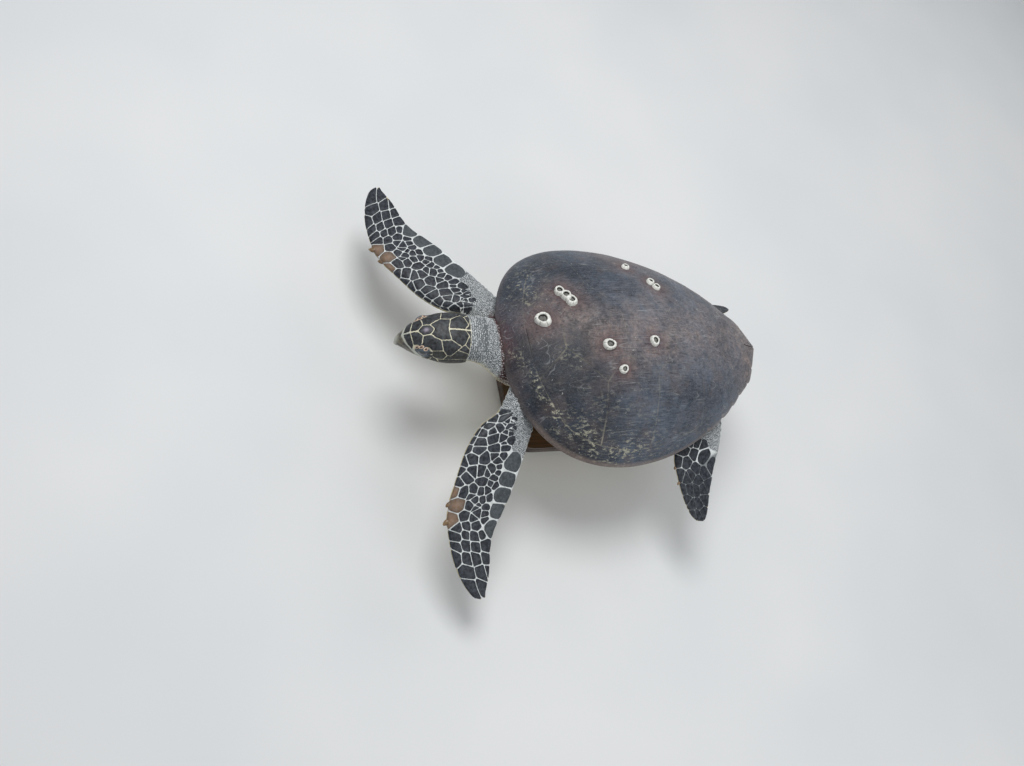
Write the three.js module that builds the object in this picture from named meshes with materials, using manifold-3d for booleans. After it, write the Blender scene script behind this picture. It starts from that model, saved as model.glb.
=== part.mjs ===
// Hawksbill sea turtle, life size, gliding with its flippers spread, on a plain display stand.
// Millimetres, +Z up. The head points to -Y and the animal's left side to +X.
// The origin is the centre of the stand's underside.
//
// The shell is modelled whole, as one closed hull round a core, and parted into its horn plates
// with thin cuts. Neck, limbs and tail are lofts that end where they meet the hull.

import * as THREE from "three";
import { mergeVertices } from "three/addons/utils/BufferGeometryUtils.js";
import Module from "manifold-3d";

const wasm = await Module();
wasm.setup();

// ---------------------------------------------------------------- driving dimensions

const SHELL_LENGTH = 750; // straight, from the nuchal edge to the tail notch
const SHELL_HALF_WIDTH = 301;
const PLATE = 8; // horn plate with the bone it sits on
const RIM_EDGE = 8; // thickness of the shell's edge
const GAP = 0.35; // clearance between touching pieces
const HEAD_LENGTH = 168;
const FORE_LENGTH = 432; // shell edge to flipper tip
const HIND_LENGTH = 262;
const RIM_HEIGHT = 292; // the shell's side edge above the floor
const BASE = { width: 300, length: 480, height: 24, corner: 60 };
const ROD_RADIUS = 8;

const degrees = THREE.MathUtils.degToRad;

// ---------------------------------------------------------------- helpers

// A smooth curve through [position, value] pairs, which never overshoots them.
function through(...pairs) {
  const ordered = pairs.sort((a, b) => a[0] - b[0]);
  const x = ordered.map((pair) => pair[0]);
  const y = ordered.map((pair) => pair[1]);
  const slope = y.slice(1).map((value, i) => (value - y[i]) / (x[i + 1] - x[i]));
  const tangent = y.map((_, i) => {
    if (i === 0) return slope[0];
    if (i === y.length - 1) return slope[i - 1];
    const [before, after] = [slope[i - 1], slope[i]];
    return before * after <= 0 ? 0 : (2 * before * after) / (before + after);
  });
  return (at) => {
    let i = 0;
    while (i < x.length - 2 && at > x[i + 1]) i += 1;
    const span = x[i + 1] - x[i];
    const k = (at - x[i]) / span;
    const rest = 1 - k;
    return (
      y[i] * (1 + 2 * k) * rest * rest +
      tangent[i] * span * k * rest * rest +
      y[i + 1] * k * k * (3 - 2 * k) -
      tangent[i + 1] * span * k * k * rest
    );
  };
}

// Evenly spaced numbers from first to last, ends included.
function steps(first, last, count) {
  return Array.from({ length: count }, (_, i) => first + ((last - first) * i) / (count - 1));
}

// A counter-clockwise closed outline of [x, y] pairs, moved outwards by a distance.
function grown(outline, distance) {
  return outline.map((point, i) => {
    const before = outline[(i + outline.length - 1) % outline.length];
    const after = outline[(i + 1) % outline.length];
    const normals = [
      [before, point],
      [point, after],
    ].map(([from, to]) => new THREE.Vector2(to[1] - from[1], from[0] - to[0]).normalize());
    const sum = normals[0].clone().add(normals[1]);
    const scale = distance / Math.max(0.3, 1 + normals[0].dot(normals[1]));
    return [point[0] + sum.x * scale, point[1] + sum.y * scale];
  });
}

// A closed body through rings of points, each with the same number of points, with flat ends.
function loft(rings) {
  const count = rings[0].length;
  const faces = [];
  rings.slice(1).forEach((_, r) => {
    for (let i = 0; i < count; i += 1) {
      const a = r * count + i;
      const b = r * count + ((i + 1) % count);
      faces.push([a, b, b + count], [a, b + count, a + count]);
    }
  });
  const last = (rings.length - 1) * count;
  for (let i = 1; i < count - 1; i += 1) {
    faces.push([0, i + 1, i], [last, last + i, last + i + 1]);
  }
  const points = rings.flat();
  const volume = faces.reduce((sum, [a, b, c]) => {
    return sum + points[a].dot(points[b].clone().cross(points[c]));
  }, 0);
  const turned = volume < 0 ? faces.map(([a, b, c]) => [a, c, b]) : faces;
  const geometry = new THREE.BufferGeometry().setFromPoints(points);
  geometry.setIndex(turned.flat());
  return geometry;
}

// A three.js geometry as a solid that can be cut and joined.
function solidOf(geometry) {
  const bare = geometry.clone();
  bare.deleteAttribute("normal");
  bare.deleteAttribute("uv");
  const merged = mergeVertices(bare, 1e-4);
  return new wasm.Manifold(
    new wasm.Mesh({
      numProp: 3,
      vertProperties: merged.attributes.position.array,
      triVerts: new Uint32Array(merged.index.array),
    }),
  );
}

// The largest closed body of a solid, as a geometry for a mesh.
function geometryOf(solid) {
  const largest = solid.decompose().sort((a, b) => b.volume() - a.volume())[0];
  const mesh = largest.getMesh();
  const geometry = new THREE.BufferGeometry();
  geometry.setAttribute("position", new THREE.BufferAttribute(mesh.vertProperties.slice(), 3));
  geometry.setIndex(new THREE.BufferAttribute(mesh.triVerts.slice(), 1));
  geometry.computeVertexNormals();
  return geometry;
}

// An upright prism on a plan outline of [x, y] pairs.
function prism(outline, low, high) {
  const shape = new THREE.Shape(outline.map(([x, y]) => new THREE.Vector2(x, y)));
  const geometry = new THREE.ExtrudeGeometry(shape, { depth: high - low, bevelEnabled: false });
  return solidOf(geometry.translate(0, 0, low));
}

function counterClockwise(outline) {
  const area = THREE.ShapeUtils.area(outline.map(([x, y]) => new THREE.Vector2(x, y)));
  return area < 0 ? [...outline].reverse() : outline;
}

function mirrored(outline) {
  return outline.map(([x, y]) => [-x, y]);
}

function material(color, roughness, metalness = 0) {
  return new THREE.MeshStandardMaterial({ color, roughness, metalness });
}

function piece(parent, name, geometry, finish) {
  const mesh = new THREE.Mesh(geometry, finish);
  mesh.name = name;
  parent.add(mesh);
  return mesh;
}

const horn = material(0x464d56, 0.55);
const belly = material(0xd8c98f, 0.5);
const skin = material(0x8e979c, 0.7);
const scaleSkin = material(0x30343c, 0.5);
const beakHorn = material(0x8a8a62, 0.4);
const clawHorn = material(0xa57b4a, 0.4);
const eyeGlass = material(0x14110f, 0.08);
const barnacleShell = material(0xe6e4dc, 0.8);
const standBoard = material(0x2b2926, 0.45);
const standSteel = material(0xb8babd, 0.3, 1);

const root = new THREE.Group();
const turtle = new THREE.Group();
turtle.position.z = RIM_HEIGHT;
root.add(turtle);

// ---------------------------------------------------------------- shell hull

// The shell is measured by s, from 0 at the neck to 1 at the tail.
const FRONT_BLUNT = 0.4;
const REAR_TAPER = 0.665;
const REAR_FLARE = 13; // the last marginal plates spread this much
const planShape = (s) => s ** FRONT_BLUNT * (1 - s) ** REAR_TAPER;
const WIDEST = FRONT_BLUNT / (FRONT_BLUNT + REAR_TAPER);
const flareShape = (s) => Math.exp(-(((s - 0.955) / 0.03) ** 2));
const halfWidth = (s) => {
  return (SHELL_HALF_WIDTH * planShape(s)) / planShape(WIDEST) + REAR_FLARE * flareShape(s);
};
const alongShell = (s) => (s - 0.5) * SHELL_LENGTH;
const shellShare = (y) => y / SHELL_LENGTH + 0.5;

// Heights above the side edge: of the ridge, of the rim, and of the underside at the midline.
const ridge = through([0, 46], [0.05, 72], [0.12, 103], [0.22, 133], [0.35, 152], [0.45, 155],
  [0.6, 144], [0.75, 116], [0.88, 78], [0.96, 51], [1, 39]);
const rim = through([0, 32], [0.05, 26], [0.12, 17], [0.25, 6], [0.4, 0], [0.55, 0], [0.7, 6],
  [0.85, 17], [1, 26]);
const keel = through([0, 24], [0.05, -16], [0.12, -58], [0.2, -76], [0.3, -81], [0.7, -79],
  [0.8, -66], [0.9, -30], [1, 17]);

const dome = (u) => (1 - Math.min(1, u) ** 2.2) ** 0.8;
const flare = (u) => Math.max(0, (u - 0.45) / 0.55) ** 1.4;

function shellTop(x, s) {
  return rim(s) + (ridge(s) - rim(s)) * dome(Math.abs(x) / halfWidth(s));
}

function shellUnder(x, s) {
  const edge = rim(s) - RIM_EDGE;
  return keel(s) + (edge - keel(s)) * flare(Math.abs(x) / halfWidth(s));
}

// Rim positions, which space the marginal plates evenly round the edge.
const rimShare = (t) => (1 - Math.cos(Math.PI * t)) / 2;
const RIM_START = 0.04; // the nuchal plate's corner
const RIM_END = 0.985;

// One cross-section of the hull, counter-clockwise seen from the tail side.
function hullOutline(s) {
  const half = halfWidth(s);
  const top = [1, 0.965, 0.89, 0.77, 0.61, 0.42, 0.21];
  const under = [1, 0.93, 0.8, 0.6];
  const over = [...top, 0, ...top.map((u) => -u).reverse()];
  const below = [...under.map((u) => -u), 0, ...[...under].reverse()];
  return [
    ...over.map((u) => [u * half, shellTop(u * half, s)]),
    ...below.map((u) => [u * half, shellUnder(u * half, s)]),
  ];
}

function ringAt(outline, y) {
  return outline.map(([x, z]) => new THREE.Vector3(x, y, z));
}

function hullGeometry(grow) {
  const stations = steps(RIM_START, RIM_END, 20).map(rimShare);
  return loft(
    stations.map((s, i) => {
      const beyond = i === 0 ? -grow : i === stations.length - 1 ? grow : 0;
      return ringAt(grown(hullOutline(s), grow), alongShell(s) + beyond);
    }),
  );
}

// The core that the plates lie on: the hull drawn in by the plates' thickness.
const CORE_SHARE = 0.945;

function coreGeometry(grow) {
  const top = [1, 0.88, 0.6];
  const under = [0.92, 0.6];
  const stations = steps(RIM_START, 0.97, 10).map((t) => {
    const plan = rimShare(t);
    const s = 0.5 + CORE_SHARE * (plan - 0.5);
    const half = CORE_SHARE * halfWidth(plan);
    const over = [...top, 0, ...top.map((u) => -u).reverse()].map((u) => {
      return [u * half, shellTop(u * half, s) - PLATE * (1 + 0.5 * u * u)];
    });
    const below = [-1, ...under.map((u) => -u), 0, ...[...under].reverse(), 1].map((u) => {
      return [u * half, shellUnder(u * half, s) + PLATE];
    });
    return { y: alongShell(s), outline: [...over, ...below] };
  });
  return loft(
    stations.map(({ y, outline }, i) => {
      const beyond = i === 0 ? -grow : i === stations.length - 1 ? grow : 0;
      return ringAt(grown(outline, grow), y + beyond);
    }),
  );
}

const hull = solidOf(hullGeometry(0));
const hullGrown = hullGeometry(GAP);

// ---------------------------------------------------------------- horn plates

const CUT = 0.3; // half of the seam between two plates

// Lines along the rim are shares of the shell's outline at rim position t. One follows the marginal
// plates' inner edge, and the other runs outside the shell, for cutting outlines.
const marginInner = through([0, 0.865], [0.12, 0.87], [0.25, 0.905], [0.5, 0.91], [0.75, 0.89],
  [1, 0.87]);
const outside = () => 1.08;

// A point on the shell's outline at rim position t, drawn in or out by a share of it.
function rimPoint(t, share) {
  const s = rimShare(t);
  return [halfWidth(s) * share(t), alongShell(s) * share(t)];
}

// Every line along the rim turns at the same fixed positions, so that neighbours share one line.
const RIM_TURNS = 27;

function rimLine(share, from, to) {
  const turns = steps(0, 1, RIM_TURNS + 1).filter((t) => t > from + 0.004 && t < to - 0.004);
  return [from, ...turns, to].map((t) => rimPoint(t, share));
}

const plan = (s, half) => [half * SHELL_LENGTH, alongShell(s)];
const sides = [
  { name: "left", sign: 1, turn: (outline) => outline },
  { name: "right", sign: -1, turn: mirrored },
];

// Heights that reach past the shell, for the cutting prisms.
const BELOW_ALL = -140;
const BELOW_RIM = -80; // clears the marginal plates' lower side
const BELOW_TOP = 4; // clears the core's upper side along the marginal plates
const ABOVE_ALL = 260;
const BELLY_TOP = 2; // clears the core's lower side along the bridges

// Behind the thighs the rim is toothed: each marginal plate starts in a notch beside the one before.
const notches = [0.7, 0.745, 0.782, 0.895];
const NOTCH_RUN = 0.026;
const notchDepth = () => 0.968;
const toothed = notches.flatMap((t) => {
  const wedge = [rimPoint(t, notchDepth), rimPoint(t, outside), rimPoint(t + NOTCH_RUN, outside)];
  return sides.map(({ turn }) => prism(counterClockwise(turn(wedge)), BELOW_RIM, ABOVE_ALL));
}).reduce((solid, wedge) => solid.subtract(wedge), hull);
const casing = toothed.subtract(solidOf(coreGeometry(0)));

function plate(name, outline, low, high, finish) {
  const cut = prism(grown(counterClockwise(outline), -CUT), low, high);
  piece(turtle, name, geometryOf(casing.intersect(cut)), finish);
}

// Where the vertebral plates' seams cross the ridge, and where their sides reach out.
const seams = [
  { s: 0.168, half: 0.054 },
  { s: 0.37, half: 0.062 },
  { s: 0.56, half: 0.06 },
  { s: 0.755, half: 0.05 },
];
const corners = [
  { s: 0.283, half: 0.178, rim: 0.329 },
  { s: 0.468, half: 0.155, rim: 0.466 },
  { s: 0.655, half: 0.132, rim: 0.623 },
];
const FIRST_CORNER = 0.083; // rim position where the first vertebral, costal and marginal plates meet
const LAST_CORNER = 0.809; // the same for the last of them

const bothSides = (half) => [...half, ...mirrored(half.filter(([x]) => x > 0.01)).reverse()];
const seamPoint = ({ s, half }) => plan(s, half);

const frontInner = rimLine(marginInner, RIM_START, FIRST_CORNER);
const rearInner = rimLine(marginInner, LAST_CORNER, 1);

plate(
  "nuchal_plate",
  bothSides([rimPoint(RIM_START, outside), rimPoint(RIM_START, marginInner)]),
  BELOW_RIM,
  ABOVE_ALL,
  horn,
);

const vertebrals = [
  [...frontInner, seamPoint(seams[0])],
  [seamPoint(seams[0]), seamPoint(corners[0]), seamPoint(seams[1])],
  [seamPoint(seams[1]), seamPoint(corners[1]), seamPoint(seams[2])],
  [seamPoint(seams[2]), seamPoint(corners[2]), seamPoint(seams[3])],
  [seamPoint(seams[3]), ...rearInner],
];
vertebrals.forEach((half, i) => {
  plate(`vertebral_plate_${i + 1}`, bothSides(half), BELOW_TOP, ABOVE_ALL, horn);
});

const costals = [
  [seamPoint(corners[0]), seamPoint(seams[0]), ...rimLine(marginInner, FIRST_CORNER, corners[0].rim)],
  [seamPoint(corners[1]), seamPoint(seams[1]), seamPoint(corners[0]),
    ...rimLine(marginInner, corners[0].rim, corners[1].rim)],
  [seamPoint(corners[2]), seamPoint(seams[2]), seamPoint(corners[1]),
    ...rimLine(marginInner, corners[1].rim, corners[2].rim)],
  [seamPoint(seams[3]), seamPoint(corners[2]), ...rimLine(marginInner, corners[2].rim, LAST_CORNER)],
];

const marginals = [
  { name: "front", from: RIM_START, to: 0.275 },
  { name: "bridge", from: 0.275, to: 0.575 },
  { name: "rear", from: 0.575, to: 1 },
];

for (const { name, turn } of sides) {
  costals.forEach((outline, i) => {
    plate(`costal_plate_${i + 1}_${name}`, turn(outline), BELOW_TOP, ABOVE_ALL, horn);
  });
  for (const { name: part, from, to } of marginals) {
    const inner = rimLine(marginInner, from, to);
    const outer = rimLine(outside, from, to).reverse();
    plate(`marginal_plates_${part}_${name}`, turn([...inner, ...outer]), BELOW_RIM, ABOVE_ALL, horn);
  }
}

// The plastron, and the bridges that tie it to the upper shell.
const plastronFront = [plan(0.1, 0), plan(0.115, 0.1), plan(0.17, 0.16), plan(0.27, 0.185)];
const plastronRear = [plan(0.64, 0.19), plan(0.74, 0.15), plan(0.81, 0.09), plan(0.845, 0)];
const plastronHalf = [...plastronFront, ...plastronRear];
const plastronOutline = [...plastronHalf, ...mirrored(plastronHalf.slice(1, -1)).reverse()];
plate("plastron", plastronOutline, BELOW_ALL, BELLY_TOP, belly);

const BRIDGE_FROM = 0.335;
const BRIDGE_TO = 0.6;
const bridgeOutline = [plastronFront.at(-1), plastronRear[0],
  ...rimLine(marginInner, BRIDGE_FROM, BRIDGE_TO).reverse()];
for (const { name, turn } of sides) {
  plate(`bridge_${name}`, turn(bridgeOutline), BELOW_ALL, BELLY_TOP, belly);
}

// ---------------------------------------------------------------- trunk

// Bare skin closes the hull below, in front of the plastron and behind it.
const SKIN_TOP = 14; // inside the core all round
const SKIN_REAR = 0.95; // rim position where the skin ends at the tail
const frontRim = rimLine(marginInner, RIM_START, BRIDGE_FROM);
const rearRim = rimLine(marginInner, BRIDGE_TO, SKIN_REAR);
const frontSkin = [...plastronFront].reverse();
const rearSkin = [...plastronRear];
frontSkin.push(...mirrored(plastronFront.slice(1)), ...mirrored(frontRim).reverse(), ...frontRim);
rearSkin.push(...mirrored(plastronRear.slice(0, -1)).reverse(), ...mirrored(rearRim));
rearSkin.push(...[...rearRim].reverse());

const skinUnder = [frontSkin, rearSkin].map((outline) => {
  return hull.intersect(prism(grown(counterClockwise(outline), -CUT), BELOW_ALL, SKIN_TOP));
});
const trunk = solidOf(coreGeometry(-GAP)).add(skinUnder[0]).add(skinUnder[1]);
piece(turtle, "trunk", geometryOf(trunk), skin);

// ---------------------------------------------------------------- neck

// A closed outline with its own height above and below: exponent 1 is an oval, less is boxier.
function ovalOutline(count, half, top, bottom, exponent = 1) {
  return Array.from({ length: count }, (_, i) => {
    const angle = (2 * Math.PI * i) / count;
    const [across, up] = [Math.cos(angle), Math.sin(angle)];
    const power = (value) => Math.sign(value) * Math.abs(value) ** exponent;
    return [half * power(across), power(up) * (up > 0 ? top : -bottom)];
  });
}

const NECK_START = -300;
const HEAD_PLACE = new THREE.Vector3(-27, -453, 30); // centre of the skull's back
const HEAD_TURN = new THREE.Euler(degrees(10), degrees(4), degrees(-6), "ZXY"); // nod, tilt and turn

const neckHalf = through([0, 88], [0.35, 78], [0.6, 66], [0.8, 58], [1, 54]);
const neckTop = through([0, 50], [0.35, 47], [0.7, 44], [1, 43]);
const neckBottom = through([0, -54], [0.35, -50], [0.7, -45], [1, -45]);

// The neck leaves the shell level and straight, and bends up and over to the skull.
function neckGeometry() {
  const start = new THREE.Vector3(-12, NECK_START, -24);
  const turn = new THREE.Quaternion().setFromEuler(HEAD_TURN);
  const end = new THREE.Vector3(0, GAP, 0).applyQuaternion(turn).add(HEAD_PLACE);
  const path = new THREE.CubicBezierCurve3(
    start,
    start.clone().add(new THREE.Vector3(0, -80, 0)),
    new THREE.Vector3(0, 55, -4).applyQuaternion(turn).add(end),
    end,
  );
  return loft(
    steps(0, 1, 8).map((share) => {
      const part = new THREE.Quaternion().slerp(turn, share);
      const outline = ovalOutline(14, neckHalf(share), neckTop(share), neckBottom(share), 0.9);
      return outline.map(([x, z]) => {
        return new THREE.Vector3(x, 0, z).applyQuaternion(part).add(path.getPoint(share));
      });
    }),
  );
}

// ---------------------------------------------------------------- head

// The head points to -Y in its own group. p runs from 0 at the skull's back to 1 at the beak's tip.
const head = new THREE.Group();
head.position.copy(HEAD_PLACE);
head.rotation.copy(HEAD_TURN);
turtle.add(head);

const headHalf = through([0, 53], [0.12, 57], [0.28, 58], [0.42, 56], [0.54, 51], [0.64, 46],
  [0.74, 39], [0.83, 31], [0.91, 21], [0.97, 11], [1, 4]);
const headTop = through([0, 44], [0.12, 49], [0.28, 52], [0.42, 51], [0.54, 48], [0.64, 43],
  [0.74, 36], [0.83, 28], [0.91, 17], [0.97, 2], [1, -14]);
const headBottom = through([0, -47], [0.12, -51], [0.28, -52], [0.42, -50], [0.54, -46],
  [0.64, -42], [0.74, -39], [0.83, -36], [0.91, -34], [0.97, -32], [1, -29]);

function headGeometry() {
  const positions = [0, 0.12, 0.28, 0.42, 0.54, 0.65, 0.75, 0.84, 0.92, 0.97, 1];
  return loft(
    positions.map((p) => {
      const middle = (headTop(p) + headBottom(p)) / 2;
      const height = (headTop(p) - headBottom(p)) / 2;
      const outline = ovalOutline(16, headHalf(p), height, -height, 0.85);
      return ringAt(outline.map(([x, z]) => [x, z + middle]), -p * HEAD_LENGTH);
    }),
  );
}

// A cutting body through the head on a side-view outline of [p, z] pairs.
function sideCutter(outline, inset) {
  const turned = grown(counterClockwise(outline.map(([p, z]) => [p * HEAD_LENGTH, z])), -inset);
  const shape = new THREE.Shape(turned.map(([along, z]) => new THREE.Vector2(along, z)));
  const geometry = new THREE.ExtrudeGeometry(shape, { depth: 200, bevelEnabled: false });
  geometry.translate(0, 0, -100);
  geometry.rotateX(Math.PI / 2);
  geometry.rotateZ(-Math.PI / 2);
  return solidOf(geometry);
}

// The mouth line rises from the hooked tip and runs back to below the eye.
const mouthFront = [[0.966, -60], [0.955, -34], [0.9, -24], [0.75, -16]];
const jawOutline = [...mouthFront, [0.55, -14], [0.42, -20], [0.36, -60]];
const lowerBeakOutline = [...mouthFront, [0.68, -15.5], [0.7, -60]];
const upperBeakOutline = [[1.1, -60], ...mouthFront, [0.64, -14.7], [0.71, -4], [0.81, 4],
  [0.88, 12], [0.9, 40], [1.1, 40]];

const EYE = { p: 0.65, x: 32.5, z: 10, radius: 16 };

function eyeball(side, radius) {
  const ball = new THREE.IcosahedronGeometry(radius, 2);
  return ball.translate(side * EYE.x, -EYE.p * HEAD_LENGTH, EYE.z);
}

const skull = solidOf(headGeometry());
const [leftSocket, rightSocket] = [1, -1].map((side) => solidOf(eyeball(side, EYE.radius + GAP)));
const eyeSockets = leftSocket.add(rightSocket);
const face = skull
  .subtract(sideCutter(jawOutline, -CUT))
  .subtract(sideCutter(upperBeakOutline, -CUT))
  .subtract(eyeSockets);
piece(head, "head", geometryOf(face), scaleSkin);
const upperBeak = skull.intersect(sideCutter(upperBeakOutline, 0)).subtract(eyeSockets);
piece(head, "beak_upper", geometryOf(upperBeak), beakHorn);
const lowerJaw = skull.intersect(sideCutter(jawOutline, 0));
piece(head, "jaw", geometryOf(lowerJaw.subtract(sideCutter(lowerBeakOutline, -CUT))), skin);
piece(head, "beak_lower", geometryOf(lowerJaw.intersect(sideCutter(lowerBeakOutline, 0))), beakHorn);
for (const { name, sign } of sides) {
  piece(head, `eye_${name}`, eyeball(sign, EYE.radius), eyeGlass);
}

// ---------------------------------------------------------------- flippers

// A limb lies along its group's X axis, on its own side, with its leading edge towards -Y.
// lead and trail give the two edges, thick the thickness and lift the height of its middle.
const LIMB_SIDES = 10;

function limbGeometry(limb, sign, stations, grow = 0) {
  return loft(
    stations.map((a) => {
      const lead = limb.lead(a) + grow;
      const trail = limb.trail(a) - grow;
      const half = limb.thick(a) / 2 + grow;
      return Array.from({ length: LIMB_SIDES }, (_, i) => {
        const angle = (2 * Math.PI * i) / LIMB_SIDES;
        const fullness = 0.8 + 0.3 * Math.cos(angle); // thicker in front than behind
        const across = (lead + trail) / 2 + ((lead - trail) / 2) * Math.cos(angle);
        return new THREE.Vector3(sign * a, -across, limb.lift(a) + half * fullness * Math.sin(angle));
      });
    }),
  );
}

function limbGroup(sign, { x, y, z, sweep, droop, twist }) {
  const group = new THREE.Group();
  group.position.set(sign * x, y, z);
  group.rotation.set(twist, sign * droop, -sign * sweep, "ZYX");
  turtle.add(group);
  return group;
}

// The hull, seen from a limb's own group.
function hullFrom(group) {
  group.updateMatrix();
  return solidOf(hullGrown.clone().applyMatrix4(group.matrix.clone().invert()));
}

const foreLimb = {
  lead: through([-120, 36], [-40, 50], [0, 62], [40, 96], [80, 114], [120, 124], [158, 128], [196, 131],
    [234, 134], [272, 129], [310, 113], [345, 96], [380, 72], [406, 48], [424, 24], [FORE_LENGTH, 5]),
  trail: through([-120, -42], [-40, -38], [0, -36], [80, -29], [120, -24], [158, -19], [196, -11],
    [234, -3], [272, 5], [310, 4], [345, -4], [380, -10], [406, -11], [424, -13], [FORE_LENGTH, -8]),
  thick: through([-120, 76], [-40, 72], [0, 64], [55, 50], [110, 40], [185, 30], [250, 23], [320, 16],
    [385, 10], [424, 6], [FORE_LENGTH, 5]),
  lift: through([-120, 0], [140, 0], [FORE_LENGTH, -14]),
};
const hindLimb = {
  lead: through([-80, 40], [0, 58], [60, 76], [111, 78], [151, 68], [184, 57], [227, 38], [251, 20],
    [HIND_LENGTH, 4]),
  trail: through([-80, -50], [0, -66], [60, -60], [110, -45], [160, -34], [184, -30], [227, -26],
    [251, -20], [HIND_LENGTH, -10]),
  thick: through([-80, 56], [0, 50], [60, 38], [110, 24], [180, 14], [245, 7], [HIND_LENGTH, 5]),
  lift: through([-80, 0], [80, 0], [HIND_LENGTH, -8]),
};

const forePose = {
  left: { x: 163, y: -336, z: -13, sweep: degrees(17.5), droop: degrees(19), twist: degrees(-7) },
  right: { x: 158, y: -366, z: -30, sweep: degrees(29.5), droop: degrees(8), twist: degrees(8) },
};
const hindPose = {
  left: { x: 180, y: 180, z: -20, sweep: degrees(8), droop: degrees(14), twist: degrees(0) },
  right: { x: 100, y: 190, z: -24, sweep: degrees(-68), droop: degrees(12), twist: degrees(38) },
};

const FORE_JOIN = 42; // where the upper arm ends and the flipper's blade begins
const HIND_JOIN = 70;
const foreArmStations = [-120, -80, -40, 0, FORE_JOIN];
const foreBladeStations = [FORE_JOIN + GAP, 80, 120, 160, 200, 235, 270, 305, 340, 370, 395, 413, 425,
  FORE_LENGTH];
const hindThighStations = [-80, -40, 0, 35, HIND_JOIN];
const hindBladeStations = [HIND_JOIN + GAP, 105, 140, 170, 200, 225, 242, 254, HIND_LENGTH];

// Each limb has two claws on its leading edge, at these distances along it.
const foreClaws = [
  { at: 236, length: 14, radius: 7 },
  { at: 276, length: 16, radius: 8 },
];
const hindClaws = [
  { at: 128, length: 12, radius: 5 },
  { at: 166, length: 13, radius: 5 },
];
const CLAW_ROOT = 7; // the root starts this far inside the edge
const CLAW_BEND = degrees(38);

// A claw is a short cone that grows from the leading edge and curves towards the limb's tip.
function clawGeometry(limb, sign, { at, length, radius }) {
  const start = new THREE.Vector3(sign * at, CLAW_ROOT - limb.lead(at), limb.lift(at));
  return loft(
    steps(0, 1, 4).map((share) => {
      const angle = CLAW_BEND * share;
      const along = new THREE.Vector3(sign * Math.cos(angle), Math.sin(angle), 0);
      const outward = new THREE.Vector3(sign * Math.sin(angle), -Math.cos(angle), -0.1);
      const centre = start.clone().addScaledVector(outward, length * share);
      const size = radius * (1 - 0.86 * share ** 1.3);
      return Array.from({ length: 5 }, (_, i) => {
        const turn = (2 * Math.PI * i) / 5;
        return centre.clone()
          .addScaledVector(along, size * Math.cos(turn))
          .add(new THREE.Vector3(0, 0, 0.7 * size * Math.sin(turn)));
      });
    }),
  );
}

// The neck's skin runs on into the shoulders, which are cut out of it.
let neck = solidOf(neckGeometry()).subtract(solidOf(hullGrown));

for (const { name, sign } of sides) {
  const limbs = [
    { limb: foreLimb, pose: forePose[name], names: ["upper_arm", "fore_flipper", "claw_fore"],
      rootStations: foreArmStations, bladeStations: foreBladeStations, claws: foreClaws },
    { limb: hindLimb, pose: hindPose[name], names: ["thigh", "hind_flipper", "claw_hind"],
      rootStations: hindThighStations, bladeStations: hindBladeStations, claws: hindClaws },
  ];
  for (const { limb, pose, names, rootStations, bladeStations, claws } of limbs) {
    const group = limbGroup(sign, pose);
    const hullHere = hullFrom(group);
    const rootSolid = solidOf(limbGeometry(limb, sign, rootStations)).subtract(hullHere);
    piece(group, `${names[0]}_${name}`, geometryOf(rootSolid), skin);
    const clearance = limbGeometry(limb, sign, rootStations, GAP).applyMatrix4(group.matrix);
    neck = neck.subtract(solidOf(clearance));

    const blade = limbGeometry(limb, sign, bladeStations);
    const bladeSolid = solidOf(blade).subtract(hullHere);
    piece(group, `${names[1]}_${name}`, geometryOf(bladeSolid), scaleSkin);

    // The claws' roots are cut off a little clear of the flipper's edge.
    const bladeClearance = solidOf(blade.clone().translate(0, -2 * GAP, 0));
    claws.forEach((claw, i) => {
      const clawSolid = solidOf(clawGeometry(limb, sign, claw)).subtract(bladeClearance);
      piece(group, `${names[2]}_${i + 1}_${name}`, geometryOf(clawSolid), clawHorn);
    });
  }
}
piece(turtle, "neck", geometryOf(neck), skin);

// ---------------------------------------------------------------- barnacles

// Barnacles are hollow cones fixed on the shell: across and s give their places, in shell lengths.
const barnacles = [
  { name: "front", cones: [{ across: -0.055, s: 0.119, radius: 21, height: 15 }] },
  {
    name: "cluster",
    cones: [
      { across: -0.149, s: 0.192, radius: 13, height: 12 },
      { across: -0.127, s: 0.206, radius: 14, height: 14 },
      { across: -0.107, s: 0.217, radius: 14, height: 12 },
    ],
  },
  { name: "middle", cones: [{ across: 0.06, s: 0.301, radius: 15, height: 11 }] },
  { name: "rear", cones: [{ across: 0.052, s: 0.466, radius: 13, height: 10 }] },
  { name: "left", cones: [{ across: 0.142, s: 0.337, radius: 11, height: 8 }] },
  { name: "right", cones: [{ across: -0.261, s: 0.479, radius: 11, height: 8 }] },
  {
    name: "pair",
    cones: [
      { across: -0.188, s: 0.541, radius: 11, height: 9 },
      { across: -0.166, s: 0.555, radius: 11, height: 8 },
    ],
  },
];

// The shell's outward direction at a point of its upper side.
function shellNormal(x, y) {
  const step = 4;
  const slope = (dx, dy) => {
    const ahead = shellTop(x + dx, shellShare(y + dy));
    return (ahead - shellTop(x - dx, shellShare(y - dy))) / (2 * step);
  };
  return new THREE.Vector3(-slope(step, 0), -slope(0, step), 1).normalize();
}

const BARNACLE_ROOT = -6; // sunk into the shell, and cut off at its face

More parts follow.
